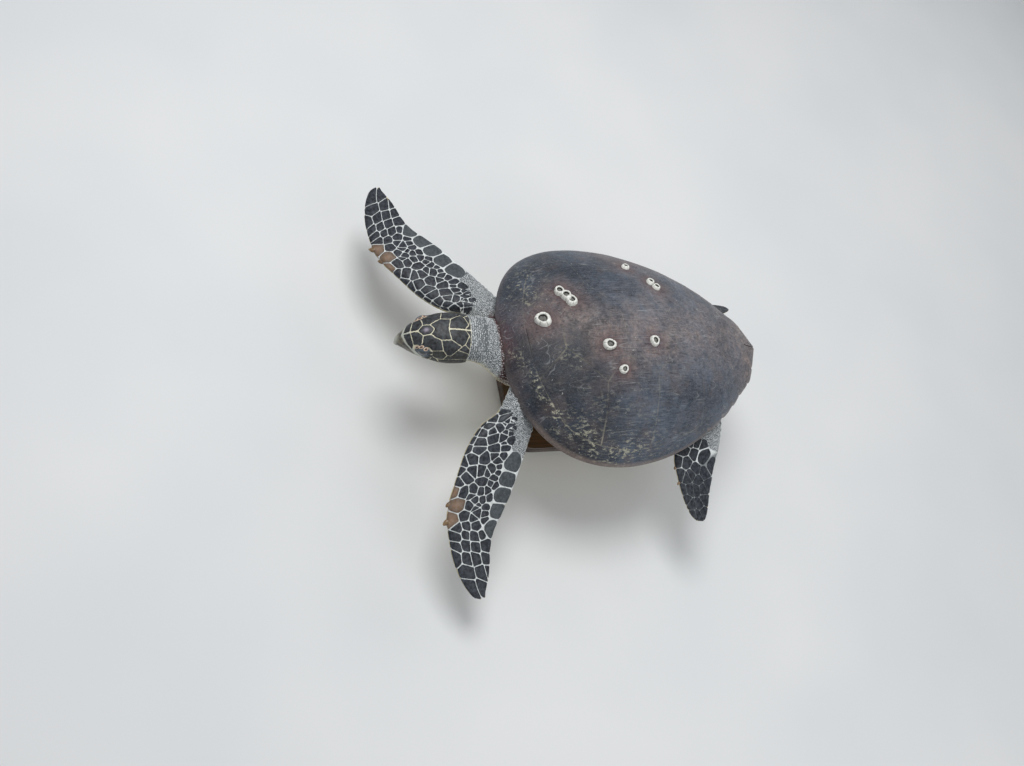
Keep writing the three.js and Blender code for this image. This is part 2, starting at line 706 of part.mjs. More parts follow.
function barnacleCone({ across, s, radius, height }) {
  const floor = 0.4 * height;
  const profile = [[0, BARNACLE_ROOT], [radius, BARNACLE_ROOT], [radius, 0], [0.52 * radius, height],
    [0.36 * radius, height], [0.26 * radius, floor], [0, floor]];
  const cone = new THREE.LatheGeometry(profile.map(([r, z]) => new THREE.Vector2(r, z)), 8);
  const [x, y] = [across * SHELL_LENGTH, alongShell(s)];
  const axis = new THREE.Vector3(0, 1, 0);
  const turn = new THREE.Quaternion().setFromUnitVectors(axis, shellNormal(x, y));
  return solidOf(cone.applyQuaternion(turn).translate(x, y, shellTop(x, s)));
}

for (const { name, cones } of barnacles) {
  const joined = cones.map(barnacleCone).reduce((all, cone) => all.add(cone));
  piece(turtle, `barnacle_${name}`, geometryOf(joined.subtract(solidOf(hullGrown))), barnacleShell);
}

// ---------------------------------------------------------------- tail

const TAIL_START = 250;
const TAIL_END = 378;
const tailHalf = through([TAIL_START, 40], [310, 26], [350, 15], [372, 6], [TAIL_END, 3]);
const tailMiddle = through([TAIL_START, 2], [TAIL_END, -6]);
const tailGeometry = loft(
  steps(TAIL_START, TAIL_END, 9).map((y) => {
    const height = 0.85 * tailHalf(y);
    const outline = ovalOutline(12, tailHalf(y), height, -height);
    return ringAt(outline.map(([x, z]) => [x, z + tailMiddle(y)]), y);
  }),
);
piece(turtle, "tail", geometryOf(solidOf(tailGeometry).subtract(solidOf(hullGrown))), skin);

// ---------------------------------------------------------------- stand

const board = new THREE.Shape();
const cornerX = BASE.width / 2 - BASE.corner;
const cornerY = BASE.length / 2 - BASE.corner;
board.absarc(cornerX, cornerY, BASE.corner, 0, Math.PI / 2);
board.absarc(-cornerX, cornerY, BASE.corner, Math.PI / 2, Math.PI);
board.absarc(-cornerX, -cornerY, BASE.corner, Math.PI, 1.5 * Math.PI);
board.absarc(cornerX, -cornerY, BASE.corner, 1.5 * Math.PI, 2 * Math.PI);
const boardGeometry = new THREE.ExtrudeGeometry(board, {
  depth: BASE.height,
  bevelEnabled: false,
  curveSegments: 8,
});
piece(root, "stand_base", boardGeometry, standBoard);

// Each rod has a round foot on the board and a round pad that fits the plastron.
const FOOT_RADIUS = 24;
const PAD_RADIUS = 30;
const padHigh = RIM_HEIGHT - 60; // inside the shell, and cut off at its face
const padLow = RIM_HEIGHT - 100;
const bellyCut = solidOf(hullGrown.clone().translate(0, 0, RIM_HEIGHT));
const rods = [
  { name: "stand_rod_front", y: -110 },
  { name: "stand_rod_rear", y: 130 },
];
rods.forEach(({ name, y }) => {
  const low = BASE.height + GAP;
  const profile = [[0, low], [FOOT_RADIUS, low], [FOOT_RADIUS, low + 6], [ROD_RADIUS, low + 10],
    [ROD_RADIUS, padLow - 6], [PAD_RADIUS, padLow + 4], [PAD_RADIUS, padHigh], [0, padHigh]];
  const rod = new THREE.LatheGeometry(profile.map(([r, z]) => new THREE.Vector2(r, z)), 12);
  rod.rotateX(Math.PI / 2).translate(0, y, 0);
  piece(root, name, geometryOf(solidOf(rod).subtract(bellyCut)), standSteel);
});

export default root;
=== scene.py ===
import math
import random
from functools import partial

import bpy
import numpy as np
from mathutils import Matrix, Quaternion, Vector, noise
from mathutils.geometry import delaunay_2d_cdt
from mathutils.kdtree import KDTree


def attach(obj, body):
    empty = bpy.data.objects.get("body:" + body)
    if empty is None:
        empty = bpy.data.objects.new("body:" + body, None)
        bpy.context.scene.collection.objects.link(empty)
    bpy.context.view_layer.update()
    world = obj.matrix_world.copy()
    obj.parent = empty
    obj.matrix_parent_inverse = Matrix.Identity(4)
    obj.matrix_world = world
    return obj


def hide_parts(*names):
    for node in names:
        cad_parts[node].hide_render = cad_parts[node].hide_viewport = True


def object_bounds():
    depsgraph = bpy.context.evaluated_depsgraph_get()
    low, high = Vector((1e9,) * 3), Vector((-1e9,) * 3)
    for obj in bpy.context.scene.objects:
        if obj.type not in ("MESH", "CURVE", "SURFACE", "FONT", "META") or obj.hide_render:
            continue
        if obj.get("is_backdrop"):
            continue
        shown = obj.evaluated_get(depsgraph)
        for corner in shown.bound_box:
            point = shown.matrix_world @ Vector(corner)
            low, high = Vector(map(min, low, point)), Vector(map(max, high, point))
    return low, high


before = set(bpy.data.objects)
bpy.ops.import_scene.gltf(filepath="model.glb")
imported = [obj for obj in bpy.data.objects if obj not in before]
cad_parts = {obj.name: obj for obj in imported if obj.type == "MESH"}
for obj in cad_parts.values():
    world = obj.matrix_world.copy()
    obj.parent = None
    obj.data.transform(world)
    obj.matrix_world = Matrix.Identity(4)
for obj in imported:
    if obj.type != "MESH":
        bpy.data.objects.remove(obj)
cad_low, cad_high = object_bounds()

# ---------------------------------------------------------------- view, floor and light
# The turtle is seen from above its left shoulder. It stands on a pale floor under large soft
# lamps.

CAMERA_PLACE = (0.9459, -1.3820, 2.2432)
CAMERA_RIGHT = (0.1904, 0.9001, 0.3919)
CAMERA_UP = (-0.9108, 0.0130, 0.4127)
CAMERA_BACK = (0.3664, -0.4355, 0.8222)
FLOOR_SIZE = 60.0
LAMP_AIM = Vector((0, -0.05, 0.25))
LAMPS = [("lamp_over", (-0.9, -0.9, 3.4), 1.7, 74.0), ("lamp_side", (2.6, 0.6, 2.2), 2.2, 22.0),
         ("lamp_rear", (-1.6, 2.4, 2.4), 2.2, 18.0)]  # name, place, size and watts

turned = Matrix((CAMERA_RIGHT, CAMERA_UP, CAMERA_BACK)).transposed()
camera = bpy.data.objects.new("view", bpy.data.cameras.new("view"))
camera.matrix_world = Matrix.LocRotScale(Vector(CAMERA_PLACE), turned.to_quaternion(), None)
camera.data.lens = 35.0
camera.data.sensor_width = 36.0
camera.data.clip_end = 100
bpy.context.scene.collection.objects.link(camera)
bpy.context.scene.camera = camera
bpy.context.scene.view_settings.view_transform = "Standard"


def linear(red, green, blue):
    """A colour as it shows on a screen, from 0 to 255, as the linear colour of a shader."""
    shares = np.array((red, green, blue)) / 255
    return np.where(shares <= 0.04045, shares / 12.92, ((shares + 0.055) / 1.055) ** 2.4)


class Finish:
    """A procedural material. Its patterns and shares run from 0 to 1, and its colours are given
    as they show on a screen."""

    def __init__(self, name, **sockets):
        self.material = bpy.data.materials.new(name)
        self.material.use_nodes = True
        self.tree = self.material.node_tree
        self.shader = self.tree.nodes["Principled BSDF"]
        self.normal = None
        for socket, value in sockets.items():
            self.shader.inputs[socket.replace("_", " ")].default_value = value

    def into(self, source, socket):
        """Links a node's output to a socket, or sets the socket to a value or a colour."""
        if isinstance(source, bpy.types.NodeSocket):
            self.tree.links.new(source, socket)
        else:
            colour = socket.type == "RGBA"
            socket.default_value = (*linear(*source), 1.0) if colour else source

    def node(self, kind, output, inputs, **settings):
        """One output of a new node with these inputs and settings."""
        made = self.tree.nodes.new("ShaderNode" + kind)
        for name, value in settings.items():
            setattr(made, name, value)
        for socket, source in inputs.items():
            self.into(source, made.inputs[socket])
        return made.outputs[output]

    def patches(self, scale, detail=3.0, stretch=(1, 1, 1), contrast=(0.35, 0.65), roughness=0.5):
        """A cloudy pattern, fixed to the piece and stretched along its axes."""
        place = self.node("TexCoord", "Object", {})
        place = self.node("Mapping", "Vector", {"Vector": place, "Scale": stretch})
        cloud = self.node("TexNoise", "Fac", {"Vector": place, "Scale": scale, "Detail": detail,
                                              "Roughness": roughness})
        return self.node("MapRange", "Result", {"Value": cloud, "From Min": contrast[0],
                                                "From Max": contrast[1]})

    def painted(self, name, output="Fac"):
        """What a mesh attribute of that name holds."""
        return self.node("Attribute", output, {}, attribute_name=name)

    def mixed(self, share, first, second, mode="MIX"):
        return self.node("Mix", 2, {0: share, 6: first, 7: second}, data_type="RGBA",
                         blend_type=mode)

    def worked_out(self, operation, *values):
        return self.node("Math", "Value", dict(enumerate(values)), operation=operation,
                         use_clamp=True)

    def times(self, first, *others):
        for other in others:
            first = self.worked_out("MULTIPLY", first, other)
        return first

    def uneven(self, share, pattern, least):
        """A share that a pattern lowers in places, to a least part of itself."""
        return self.times(share, self.worked_out("MULTIPLY_ADD", pattern, 1 - least, least))

    def coloured(self, colour, *layers):
        """Sets the colour: a first one, with each (share, colour) laid over it in turn."""
        for share, over in layers:
            colour = self.mixed(share, colour, over)
        self.into(colour, self.shader.inputs["Base Color"])

    def raised(self, height, depth, strength):
        """Raises the surface by up to a depth in metres, over what raised it before."""
        inputs = {"Height": height, "Distance": depth, "Strength": strength}
        if self.normal is not None:
            inputs["Normal"] = self.normal
        self.normal = self.node("Bump", "Normal", inputs)
        self.into(self.normal, self.shader.inputs["Normal"])


bpy.ops.object.select_all(action="DESELECT")
bpy.ops.mesh.primitive_plane_add(size=FLOOR_SIZE)
floor = bpy.context.object
floor.name = "floor"
paper = Finish("floor_paper", Roughness=0.8)
paper.coloured(paper.mixed(paper.patches(1.5, 2.0), (214, 216, 217), (220, 221, 221)))
floor.data.materials.append(paper.material)
floor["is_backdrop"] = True

world = bpy.data.worlds.new("studio")
bpy.context.scene.world = world
world.use_nodes = True
world.node_tree.nodes["Background"].inputs["Color"].default_value = (0.93, 0.96, 1.0, 1.0)
world.node_tree.nodes["Background"].inputs["Strength"].default_value = 0.42
for name, place, size, power in LAMPS:
    lamp = bpy.data.objects.new(name, bpy.data.lights.new(name, "AREA"))
    lamp.data.shape = "DISK"
    lamp.data.size = size
    lamp.data.energy = power
    lamp.location = place
    lamp.rotation_euler = (LAMP_AIM - Vector(place)).to_track_quat("-Z", "Y").to_euler()
    bpy.context.scene.collection.objects.link(lamp)

# ---------------------------------------------------------------- skin
# One soft skin covers the trunk, neck, head, flippers and tail. It is thick and folded round
# the neck and shoulders, and bare only between the scales and under the shell's front and rear.
# Sizes here are in millimetres from the shell's middle, with the side edge at height 0.

RIM_HEIGHT = 292
SHELL_LENGTH = 750
SHELL_HALF_WIDTH = 301
RIM_EDGE = 8
HEAD_LENGTH = 168
FORE_LENGTH = 432
HIND_LENGTH = 262


def through(*pairs):
    """A smooth curve through (position, value) pairs, which never overshoots them."""
    x, y = np.array(sorted(pairs), float).T
    slope = np.diff(y) / np.diff(x)
    tangent = np.concatenate((slope[:1], np.zeros(len(x) - 2), slope[-1:]))
    for i in range(1, len(x) - 1):
        before, after = slope[i - 1], slope[i]
        if before * after > 0:
            tangent[i] = 2 * before * after / (before + after)

    def value(at):
        at = np.asarray(at, float)
        i = np.clip(np.searchsorted(x, at, side="right") - 1, 0, len(x) - 2)
        span = x[i + 1] - x[i]
        k = (at - x[i]) / span
        rest = 1 - k
        return (y[i] * (1 + 2 * k) * rest ** 2 + tangent[i] * span * k * rest ** 2
                + y[i + 1] * k * k * (3 - 2 * k) - tangent[i + 1] * span * k * k * rest)

    return value


def eased(value, low, high):
    """0 at low, 1 at high and smooth between them."""
    k = np.clip((np.asarray(value, float) - low) / (high - low), 0, 1)
    return k * k * (3 - 2 * k)


# Heights of the shell's ridge, of its side edge and of its underside at the middle line.
ridge = through((0, 46), (.05, 72), (.12, 103), (.22, 133), (.35, 152), (.45, 155), (.6, 144),
                (.75, 116), (.88, 78), (.96, 51), (1, 39))
rim = through((0, 32), (.05, 26), (.12, 17), (.25, 6), (.4, 0), (.55, 0), (.7, 6), (.85, 17),
              (1, 26))
keel = through((0, 24), (.05, -16), (.12, -58), (.2, -76), (.3, -81), (.7, -79), (.8, -66),
               (.9, -30), (1, 17))
BLUNT, TAPER, FLARE = 0.4, 0.665, 13


def half_width(s):
    """Half the shell's width at s, from 0 at the neck to 1 at the tail."""
    s = np.clip(s, 1e-6, 1 - 1e-6)
    widest = BLUNT / (BLUNT + TAPER)
    peak = widest ** BLUNT * (1 - widest) ** TAPER
    return (SHELL_HALF_WIDTH * s ** BLUNT * (1 - s) ** TAPER / peak
            + FLARE * np.exp(-(((s - .955) / .03) ** 2)))


def along(s):
    return (np.asarray(s) - 0.5) * SHELL_LENGTH


def share_at(y):
    return np.clip(np.asarray(y) / SHELL_LENGTH + 0.5, 0, 1)


def shell_top(x, y):
    s = share_at(y)
    u = np.clip(np.abs(x) / half_width(s), 0, 1)
    return rim(s) + (ridge(s) - rim(s)) * (1 - u ** 2.2) ** 0.8


def shell_under(x, y):
    s = share_at(y)
    u = np.clip(np.abs(x) / half_width(s), 0, 1)
    return keel(s) + (rim(s) - RIM_EDGE - keel(s)) * (np.clip(u - .45, 0, 1) / .55) ** 1.4


def placed(points):
    """Points in the turtle's millimetres as points in the model's metres."""
    return (np.asarray(points, float) + (0, 0, RIM_HEIGHT)) * 0.001


def select_only(piece):
    bpy.ops.object.select_all(action="DESELECT")
    bpy.context.view_layer.objects.active = piece
    piece.select_set(True)


def new_piece(name, points, faces, turn_out=True):
    """A mesh object, with its faces turned outwards unless they are built that way."""
    mesh = bpy.data.meshes.new(name)
    mesh.from_pydata([tuple(p) for p in points], [], [tuple(f) for f in faces])
    piece = bpy.data.objects.new(name, mesh)
    bpy.context.scene.collection.objects.link(piece)
    if turn_out:
        select_only(piece)
        bpy.ops.object.mode_set(mode="EDIT")
        bpy.ops.mesh.select_all(action="SELECT")
        bpy.ops.mesh.normals_make_consistent(inside=False)
        bpy.ops.object.mode_set(mode="OBJECT")
    return piece


def finished(piece, finish, slot, *nodes, angle=None):
    """Gives a piece its finish, smooth up to an angle between faces, and its part of the frame."""
    piece.data.materials.clear()
    piece.data.materials.append(finish.material)
    select_only(piece)
    if angle is None:
        bpy.ops.object.shade_smooth()
    else:
        bpy.ops.object.shade_smooth_by_angle(angle=math.radians(angle))
    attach(piece, "root")
    if nodes:
        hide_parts(*nodes)


def lofted(rings):
    """Points and faces of a closed body through rings with the same number of points each."""
    rings = np.asarray(rings)
    count, sides = rings.shape[:2]
    faces = [(r * sides + i, r * sides + (i + 1) % sides,
              (r + 1) * sides + (i + 1) % sides, (r + 1) * sides + i)
             for r in range(count - 1) for i in range(sides)]
    last = (count - 1) * sides
    faces += [tuple(range(sides))[::-1], tuple(range(last, last + sides))]
    return rings.reshape(-1, 3), faces


def joined(bodies):
    """Several (points, faces) bodies as one."""
    points, faces, start = [], [], 0
    for some, theirs in bodies:
        points.append(some)
        faces += [tuple(start + i for i in face) for face in theirs]
        start += len(some)
    return np.concatenate(points), faces


def circle(count):
    """Evenly spaced angles all the way round."""
    return np.arange(count) * 2 * np.pi / count


def oval(half, top, bottom, exponent, count=48):
    """Points (across, up) of an oval with its own height above and below."""
    across, up = np.cos(circle(count)), np.sin(circle(count))
    high = np.where(up > 0, top, -bottom)
    return np.stack([half * np.sign(across) * np.abs(across) ** exponent,
                     np.sign(up) * np.abs(up) ** exponent * high], -1)


TRUNK_WIDTH, TRUNK_LENGTH = 0.93, 0.97  # shares of the shell's
BELOW_HORN, ABOVE_BELLY = 9, 3


def trunk_rings():
    """The trunk, which fills the shell and closes it below with bare skin."""
    rings = []
    for s in np.linspace(0.02, 0.965, 40):
        y = along(0.5 + TRUNK_LENGTH * (s - 0.5))
        across = TRUNK_WIDTH * half_width(s) * np.cos(np.linspace(0, np.pi, 25))
        top = [(x, y, shell_top(x, y) - BELOW_HORN) for x in across]
        rings.append(top + [(x, y, shell_under(x, y) + ABOVE_BELLY) for x in -across[1:-1]])
    return np.array(rings)


# The head points to -Y in its own axes. p runs from 0 at the skull's back to 1 at the beak's tip.
HEAD_PLACE = np.array((-27.0, -453.0, 30.0))
NOD, TILT, TURN = (math.radians(a) for a in (10, 4, -6))
head_matrix = (Matrix.Rotation(TURN, 3, "Z") @ Matrix.Rotation(NOD, 3, "X")
               @ Matrix.Rotation(TILT, 3, "Y"))
head_turn = np.array(head_matrix)
HEAD_EXPONENT = 0.85
SKIN_DEPTH = 0.6  # the skin lies this far inside the scales and horn

# Stations along the head, as (p, half width, top, bottom).
HEAD_STATIONS = [(0, 53, 44, -47), (.12, 57, 49, -51), (.28, 58, 52, -52), (.42, 56, 51, -50),
                 (.54, 51, 48, -46), (.64, 46, 43, -42), (.74, 39, 36, -39), (.83, 31, 28, -36),
                 (.91, 21, 17, -34), (.97, 11, 2, -32), (1, 4, -14, -29)]
head_half, head_top, head_bottom = (
    through(*((station[0], station[i]) for station in HEAD_STATIONS)) for i in (1, 2, 3))


def head_section(p, inset=0.0):
    """Half width, middle height and half height of the head at p."""
    top, bottom = head_top(p), head_bottom(p)
    return head_half(p) - inset, (top + bottom) / 2, (top - bottom) / 2 - inset


def head_rings(first, last, inset):
    rings = []
    for p in np.linspace(first, last, 60):
        half, middle, high = head_section(p, inset)
        ring = oval(half, high, -high, HEAD_EXPONENT, 64)
        rings.append([(x, -p * HEAD_LENGTH, z + middle) for x, z in ring])
    return np.array(rings)


def from_head(points):
    """Points in the head's axes as points in the turtle's."""
    return np.asarray(points) @ head_turn.T + HEAD_PLACE


def in_head(points):
    """Points of the turtle in the head's axes."""
    return (np.asarray(points) - HEAD_PLACE) @ head_turn


# The neck leaves the shell level and straight, and bends up and over to the skull.
neck_half = through((-.5, 92), (0, 88), (.35, 78), (.6, 66), (.8, 58), (1, 54), (1.2, 50))
neck_top = through((-.5, 52), (0, 50), (.35, 47), (.7, 44), (1, 43), (1.2, 40))
neck_bottom = through((-.5, -56), (0, -54), (.35, -50), (.7, -45), (1, -45), (1.2, -42))
NECK_START = Vector((-12, -300, -24))
NECK_LEAVES, NECK_ARRIVES = Vector((0, -80, 0)), Vector((0, 55, -4))


def neck_rings():
    turn, end = head_matrix.to_quaternion(), Vector(HEAD_PLACE)
    knots = [NECK_START, NECK_START + NECK_LEAVES, end + turn @ NECK_ARRIVES, end]
    rings = []
    for share in np.linspace(0, 1, 26):
        rest = 1 - share
        centre = (knots[0] * rest ** 3 + knots[1] * 3 * rest ** 2 * share
                  + knots[2] * 3 * rest * share ** 2 + knots[3] * share ** 3)
        part = Quaternion().slerp(turn, share)
        ring = oval(neck_half(share), neck_top(share), neck_bottom(share), 0.9)
        rings.append([tuple(centre + part @ Vector((x, 0, z))) for x, z in ring])
    inside = np.array(rings[0]) + (0, 70, 0)
    ahead = from_head([(x, -12, z) for x, z in oval(50, 40, -42, 0.9)])
    return np.array([inside, *rings, ahead])


# A limb lies along its own X axis, with its leading edge towards -Y. lead and trail give the two
# edges, thick the thickness, and lift the height of its middle.
fore_limb = {
    "lead": through((-120, 36), (-40, 50), (0, 62), (40, 96), (80, 114), (120, 124), (158, 128),
                    (196, 131), (234, 134), (272, 129), (310, 113), (345, 96), (380, 72),
                    (406, 48), (424, 24), (FORE_LENGTH, 5)),
    "trail": through((-120, -42), (-40, -38), (0, -36), (80, -29), (120, -24), (158, -19),
                     (196, -11), (234, -3), (272, 5), (310, 4), (345, -4), (380, -10),
                     (406, -11), (424, -13), (FORE_LENGTH, -8)),
    "thick": through((-120, 76), (-40, 72), (0, 64), (55, 50), (110, 40), (185, 30), (250, 23),
                     (320, 16), (385, 10), (424, 6), (FORE_LENGTH, 5)),
    "lift": through((-120, 0), (140, 0), (FORE_LENGTH, -14)),
    "start": -120,
    "tip": FORE_LENGTH,
}
hind_limb = {
    "lead": through((-80, 40), (0, 58), (60, 76), (111, 78), (151, 68), (184, 57), (227, 38),
                    (251, 20), (HIND_LENGTH, 4)),
    "trail": through((-80, -50), (0, -66), (60, -60), (110, -45), (160, -34), (184, -30),
                     (227, -26), (251, -20), (HIND_LENGTH, -10)),
    "thick": through((-80, 56), (0, 50), (60, 38), (110, 24), (180, 14), (245, 7),
                     (HIND_LENGTH, 5)),
    "lift": through((-80, 0), (80, 0), (HIND_LENGTH, -8)),
    "start": -80,
    "tip": HIND_LENGTH,
}


def limb_place(limb, sign, x, y, z, sweep, droop, twist):
    """A limb with its turning matrix, its place and its side. Angles are in degrees."""
    turn = (Matrix.Rotation(math.radians(-sign * sweep), 3, "Z")
            @ Matrix.Rotation(math.radians(sign * droop), 3, "Y")
            @ Matrix.Rotation(math.radians(twist), 3, "X"))
    return limb, np.array(turn), np.array((sign * x, y, z), float), sign


LIMBS = {
    "fore_left": limb_place(fore_limb, 1, 163, -336, -13, 17.5, 19, -7),
    "fore_right": limb_place(fore_limb, -1, 158, -366, -30, 29.5, 8, 8),
    "hind_left": limb_place(hind_limb, 1, 180, 180, -20, 8, 14, 0),
    "hind_right": limb_place(hind_limb, -1, 100, 190, -24, -68, 12, 38),
}


def on_limb(limb, a, c, side, height=0.0):
    """A point of a limb's surface in its own axes: a along it, c across it from -1 at the
    trailing edge to 1 at the leading edge, side 1 above and -1 below."""
    lead, trail = limb["lead"](a) + height, limb["trail"](a) - height
    half = limb["thick"](a) / 2 + height
    bulge = half * (0.8 + 0.3 * c) * np.sqrt(np.clip(1 - c * c, 0, 1))
    across = (lead + trail) / 2 + (lead - trail) / 2 * c
    return np.stack([a + 0 * c, -across, limb["lift"](a) + side * bulge], -1)


def from_limb(points, place):
    """Points in a limb's axes as points in the turtle's. place is an entry of LIMBS."""
    _, turn, origin, sign = place
    return (np.asarray(points) * (sign, 1, 1)) @ turn.T + origin


def in_limb(points, place):
    """Points of the turtle in a limb's axes."""
    _, turn, origin, sign = place
    return (points - origin) @ turn * (sign, 1, 1)


def limb_rings(place):
    limb = place[0]
    angle = circle(48)
    stations = np.append(np.arange(limb["start"], limb["tip"] - 3, 6.0), limb["tip"] - 2)
    rings = [on_limb(limb, np.full(48, a), np.cos(angle), np.sign(np.sin(angle) + 1e-9),
                     -SKIN_DEPTH) for a in stations]
    return from_limb(np.array(rings), place)


TAIL_START, TAIL_END = 250, 378
tail_half = through((TAIL_START, 40), (310, 26), (350, 15), (372, 6), (TAIL_END, 3))
tail_middle = through((TAIL_START, 2), (TAIL_END, -6))


def tail_rings():
    return np.array([[(x, y, z + tail_middle(y))
                      for x, z in oval(tail_half(y), .85 * tail_half(y), -.85 * tail_half(y), 1)]
                     for y in np.linspace(TAIL_START, TAIL_END - 1, 24)])


def with_modifier(piece, kind, **settings):
    """Adds a modifier, sets it and applies it."""
    select_only(piece)
    modifier = piece.modifiers.new(kind.lower(), kind)
    for name, value in settings.items():
        setattr(modifier, name, value)
    bpy.ops.object.modifier_apply(modifier=modifier.name)


def held(items, name, each=3, kind=float):
    """What each item of a Blender collection holds under a name, one row for each."""
    values = np.empty(len(items) * each, kind)
    items.foreach_get(name, values)
    return values.reshape(-1, each)


def points_of(piece):
    return held(piece.data.vertices, "co")


def normals_of(piece):
    return held(piece.data.vertex_normals, "vector")


def move_points(piece, points):
    piece.data.vertices.foreach_set("co", np.asarray(points, float).ravel())
    piece.data.update()


def unplaced(piece):
    """A piece's points back in the turtle's millimetres."""
    return points_of(piece) * 1000 - (0, 0, RIM_HEIGHT)


SKIN_GRAIN = 0.0026  # metres, the spacing of the skin's mesh

bodies = [trunk_rings(), neck_rings(), from_head(head_rings(0, 0.995, SKIN_DEPTH)),
          tail_rings(), *(limb_rings(place) for place in LIMBS.values())]
points, faces = joined([lofted(rings) for rings in bodies])
skin = new_piece("skin", placed(points), faces)
with_modifier(skin, "REMESH", mode="VOXEL", voxel_size=SKIN_GRAIN)
with_modifier(skin, "SMOOTH", factor=0.5, iterations=6)

# What the shell hides needs few faces, and the head needs many.
HIDDEN_WIDTH, HIDDEN_REACH, HIDDEN_ABOVE = 0.86, 335, 9
TAKEN_AWAY = 0.94

x, y, z = unplaced(skin).T
hidden = ((np.abs(x) < HIDDEN_WIDTH * half_width(share_at(y))) & (np.abs(y) < HIDDEN_REACH)
          & (z > shell_under(x, y) + HIDDEN_ABOVE))
group = skin.vertex_groups.new(name="hidden")
group.add([int(i) for i in np.flatnonzero(hidden)], 1.0, "REPLACE")
with_modifier(skin, "DECIMATE", ratio=1 - TAKEN_AWAY * hidden.mean(), vertex_group="hidden",
              vertex_group_factor=10.0)

select_only(skin)
bpy.ops.object.mode_set(mode="EDIT")
bpy.ops.mesh.select_all(action="DESELECT")
bpy.ops.object.mode_set(mode="OBJECT")
local = in_head(unplaced(skin))
chosen = (local[:, 1] < -0.05 * HEAD_LENGTH) & (np.abs(local[:, 0]) < 70)
for face in skin.data.polygons:
    face.select = all(chosen[i] for i in face.vertices)
bpy.ops.object.mode_set(mode="EDIT")
bpy.ops.mesh.subdivide(number_cuts=1)
bpy.ops.object.mode_set(mode="OBJECT")

# The skull's form, pressed onto the skin, with lids, mouth and nostrils.
EYE_P, EYE_X, EYE_Z, EYE_RADIUS = 0.65, 32.5, 10, 16
LID_UPPER, LID_LOWER, LID_EDGE = 18.6, 17.8, 12.5  # how far the lids lie from the eye's centre
EYE_OPENING, EYE_SLANT = (11.8, 6.9), math.radians(14)
NOSTRIL_P, NOSTRIL_X, NOSTRIL_DEPTH = 0.868, 5.5, (0, 1.5, -3.0)
mouth_line = through((.36, -26), (.42, -20), (.55, -14), (.75, -16), (.9, -24), (.955, -34))


def eye_centre(sign):
    return np.array((sign * EYE_X, -EYE_P * HEAD_LENGTH, EYE_Z))


local = in_head(unplaced(skin))
p = -local[:, 1] / HEAD_LENGTH
half, middle, high = head_section(np.clip(p, 0, 0.99), SKIN_DEPTH)
power = 2 / HEAD_EXPONENT
reach = ((np.abs(local[:, 0]) / half) ** power
         + (np.abs(local[:, 2] - middle) / high) ** power) ** (1 / power)
pressed = eased(p, 0.02, 0.14) * eased(p, 1.02, 0.98) * (reach < 1.5)
scale = 1 + pressed * (1 / np.maximum(reach, 0.3) - 1)
local[:, 0] *= scale
local[:, 2] = middle + (local[:, 2] - middle) * scale

# The mouth is a narrow groove between the two beaks, back to below the eye.
MOUTH_FROM, MOUTH_TO, MOUTH_DEPTH, MOUTH_NOTCH = 0.36, 0.95, 0.09, 2.0


def off_mouth(local, p):
    """How far each point lies above or below the mouth's line."""
    return np.abs(local[:, 2] - mouth_line(np.clip(p, MOUTH_FROM, MOUTH_TO)))


groove = eased(off_mouth(local, p), 2.2, 0.4) * eased(p, 0.4, 0.46) * eased(p, 1.0, 0.97)
local[:, 0] *= 1 - MOUTH_DEPTH * groove
local[:, 1] += MOUTH_NOTCH * groove * eased(p, 0.85, 0.93)

# Thick lids lie on each eyeball and leave a slanting almond opening.
for sign in (1, -1):
    out = local - eye_centre(sign)
    distance = np.linalg.norm(out, axis=1)
    facing = out[:, 0] * sign / np.maximum(distance, 1e-6)
    u = -out[:, 1] * math.cos(EYE_SLANT) - out[:, 2] * math.sin(EYE_SLANT)
    v = out[:, 2] * math.cos(EYE_SLANT) - out[:, 1] * math.sin(EYE_SLANT)
    opening = np.hypot((u - 0.5) / EYE_OPENING[0], (v - 0.3) / EYE_OPENING[1])
    lid = np.where(v > 0, LID_UPPER, LID_LOWER)
    near = (facing > 0.25) & (distance < 26)
    on_lid = eased(opening, 0.94, 1.04) * eased(distance, 26, 19)
    target = np.maximum(distance, lid + 0.5 * np.sin(opening * 9))
    edge = LID_EDGE + (lid - LID_EDGE) * eased(opening, .93, 1.03)
    wanted = np.where(opening < 1, edge, target)
    weight = near * np.maximum(on_lid * (distance < lid + 2), opening < 1)
    moved = distance + weight * (wanted - distance)
    local = np.where(near[:, None], eye_centre(sign) + out * (moved / distance)[:, None], local)

for sign in (1, -1):
    nostril = np.array((sign * NOSTRIL_X, -NOSTRIL_P * HEAD_LENGTH,
                        float(head_top(NOSTRIL_P)) - 1.5))
    pit = eased(np.linalg.norm((local - nostril) * (1, 0.8, 0.6), axis=1), 2.6, 1.0)
    local = local + pit[:, None] * NOSTRIL_DEPTH

inside = (p > 0) & (reach < 1.5) & (np.abs(local[:, 0]) < 75)
move_points(skin, placed(np.where(inside[:, None], from_head(local), unplaced(skin))))

# Folds: fine rings behind the skull, longer ones down the neck and round the shoulders.
RING_GAP, SHOULDER_GAP = 8.5, 15  # millimetres from fold to fold
RING_HEIGHT, SHOULDER_HEIGHT, NECK_RIPPLE, SHOULDER_RIPPLE = 0.75, 0.9, 1.5, 0.8


def noise_at(points, scale, *lift):
    """Soft noise from -1 to 1 at each point."""
    return np.array([noise.noise(Vector((*q, *lift)) * scale) for q in points])


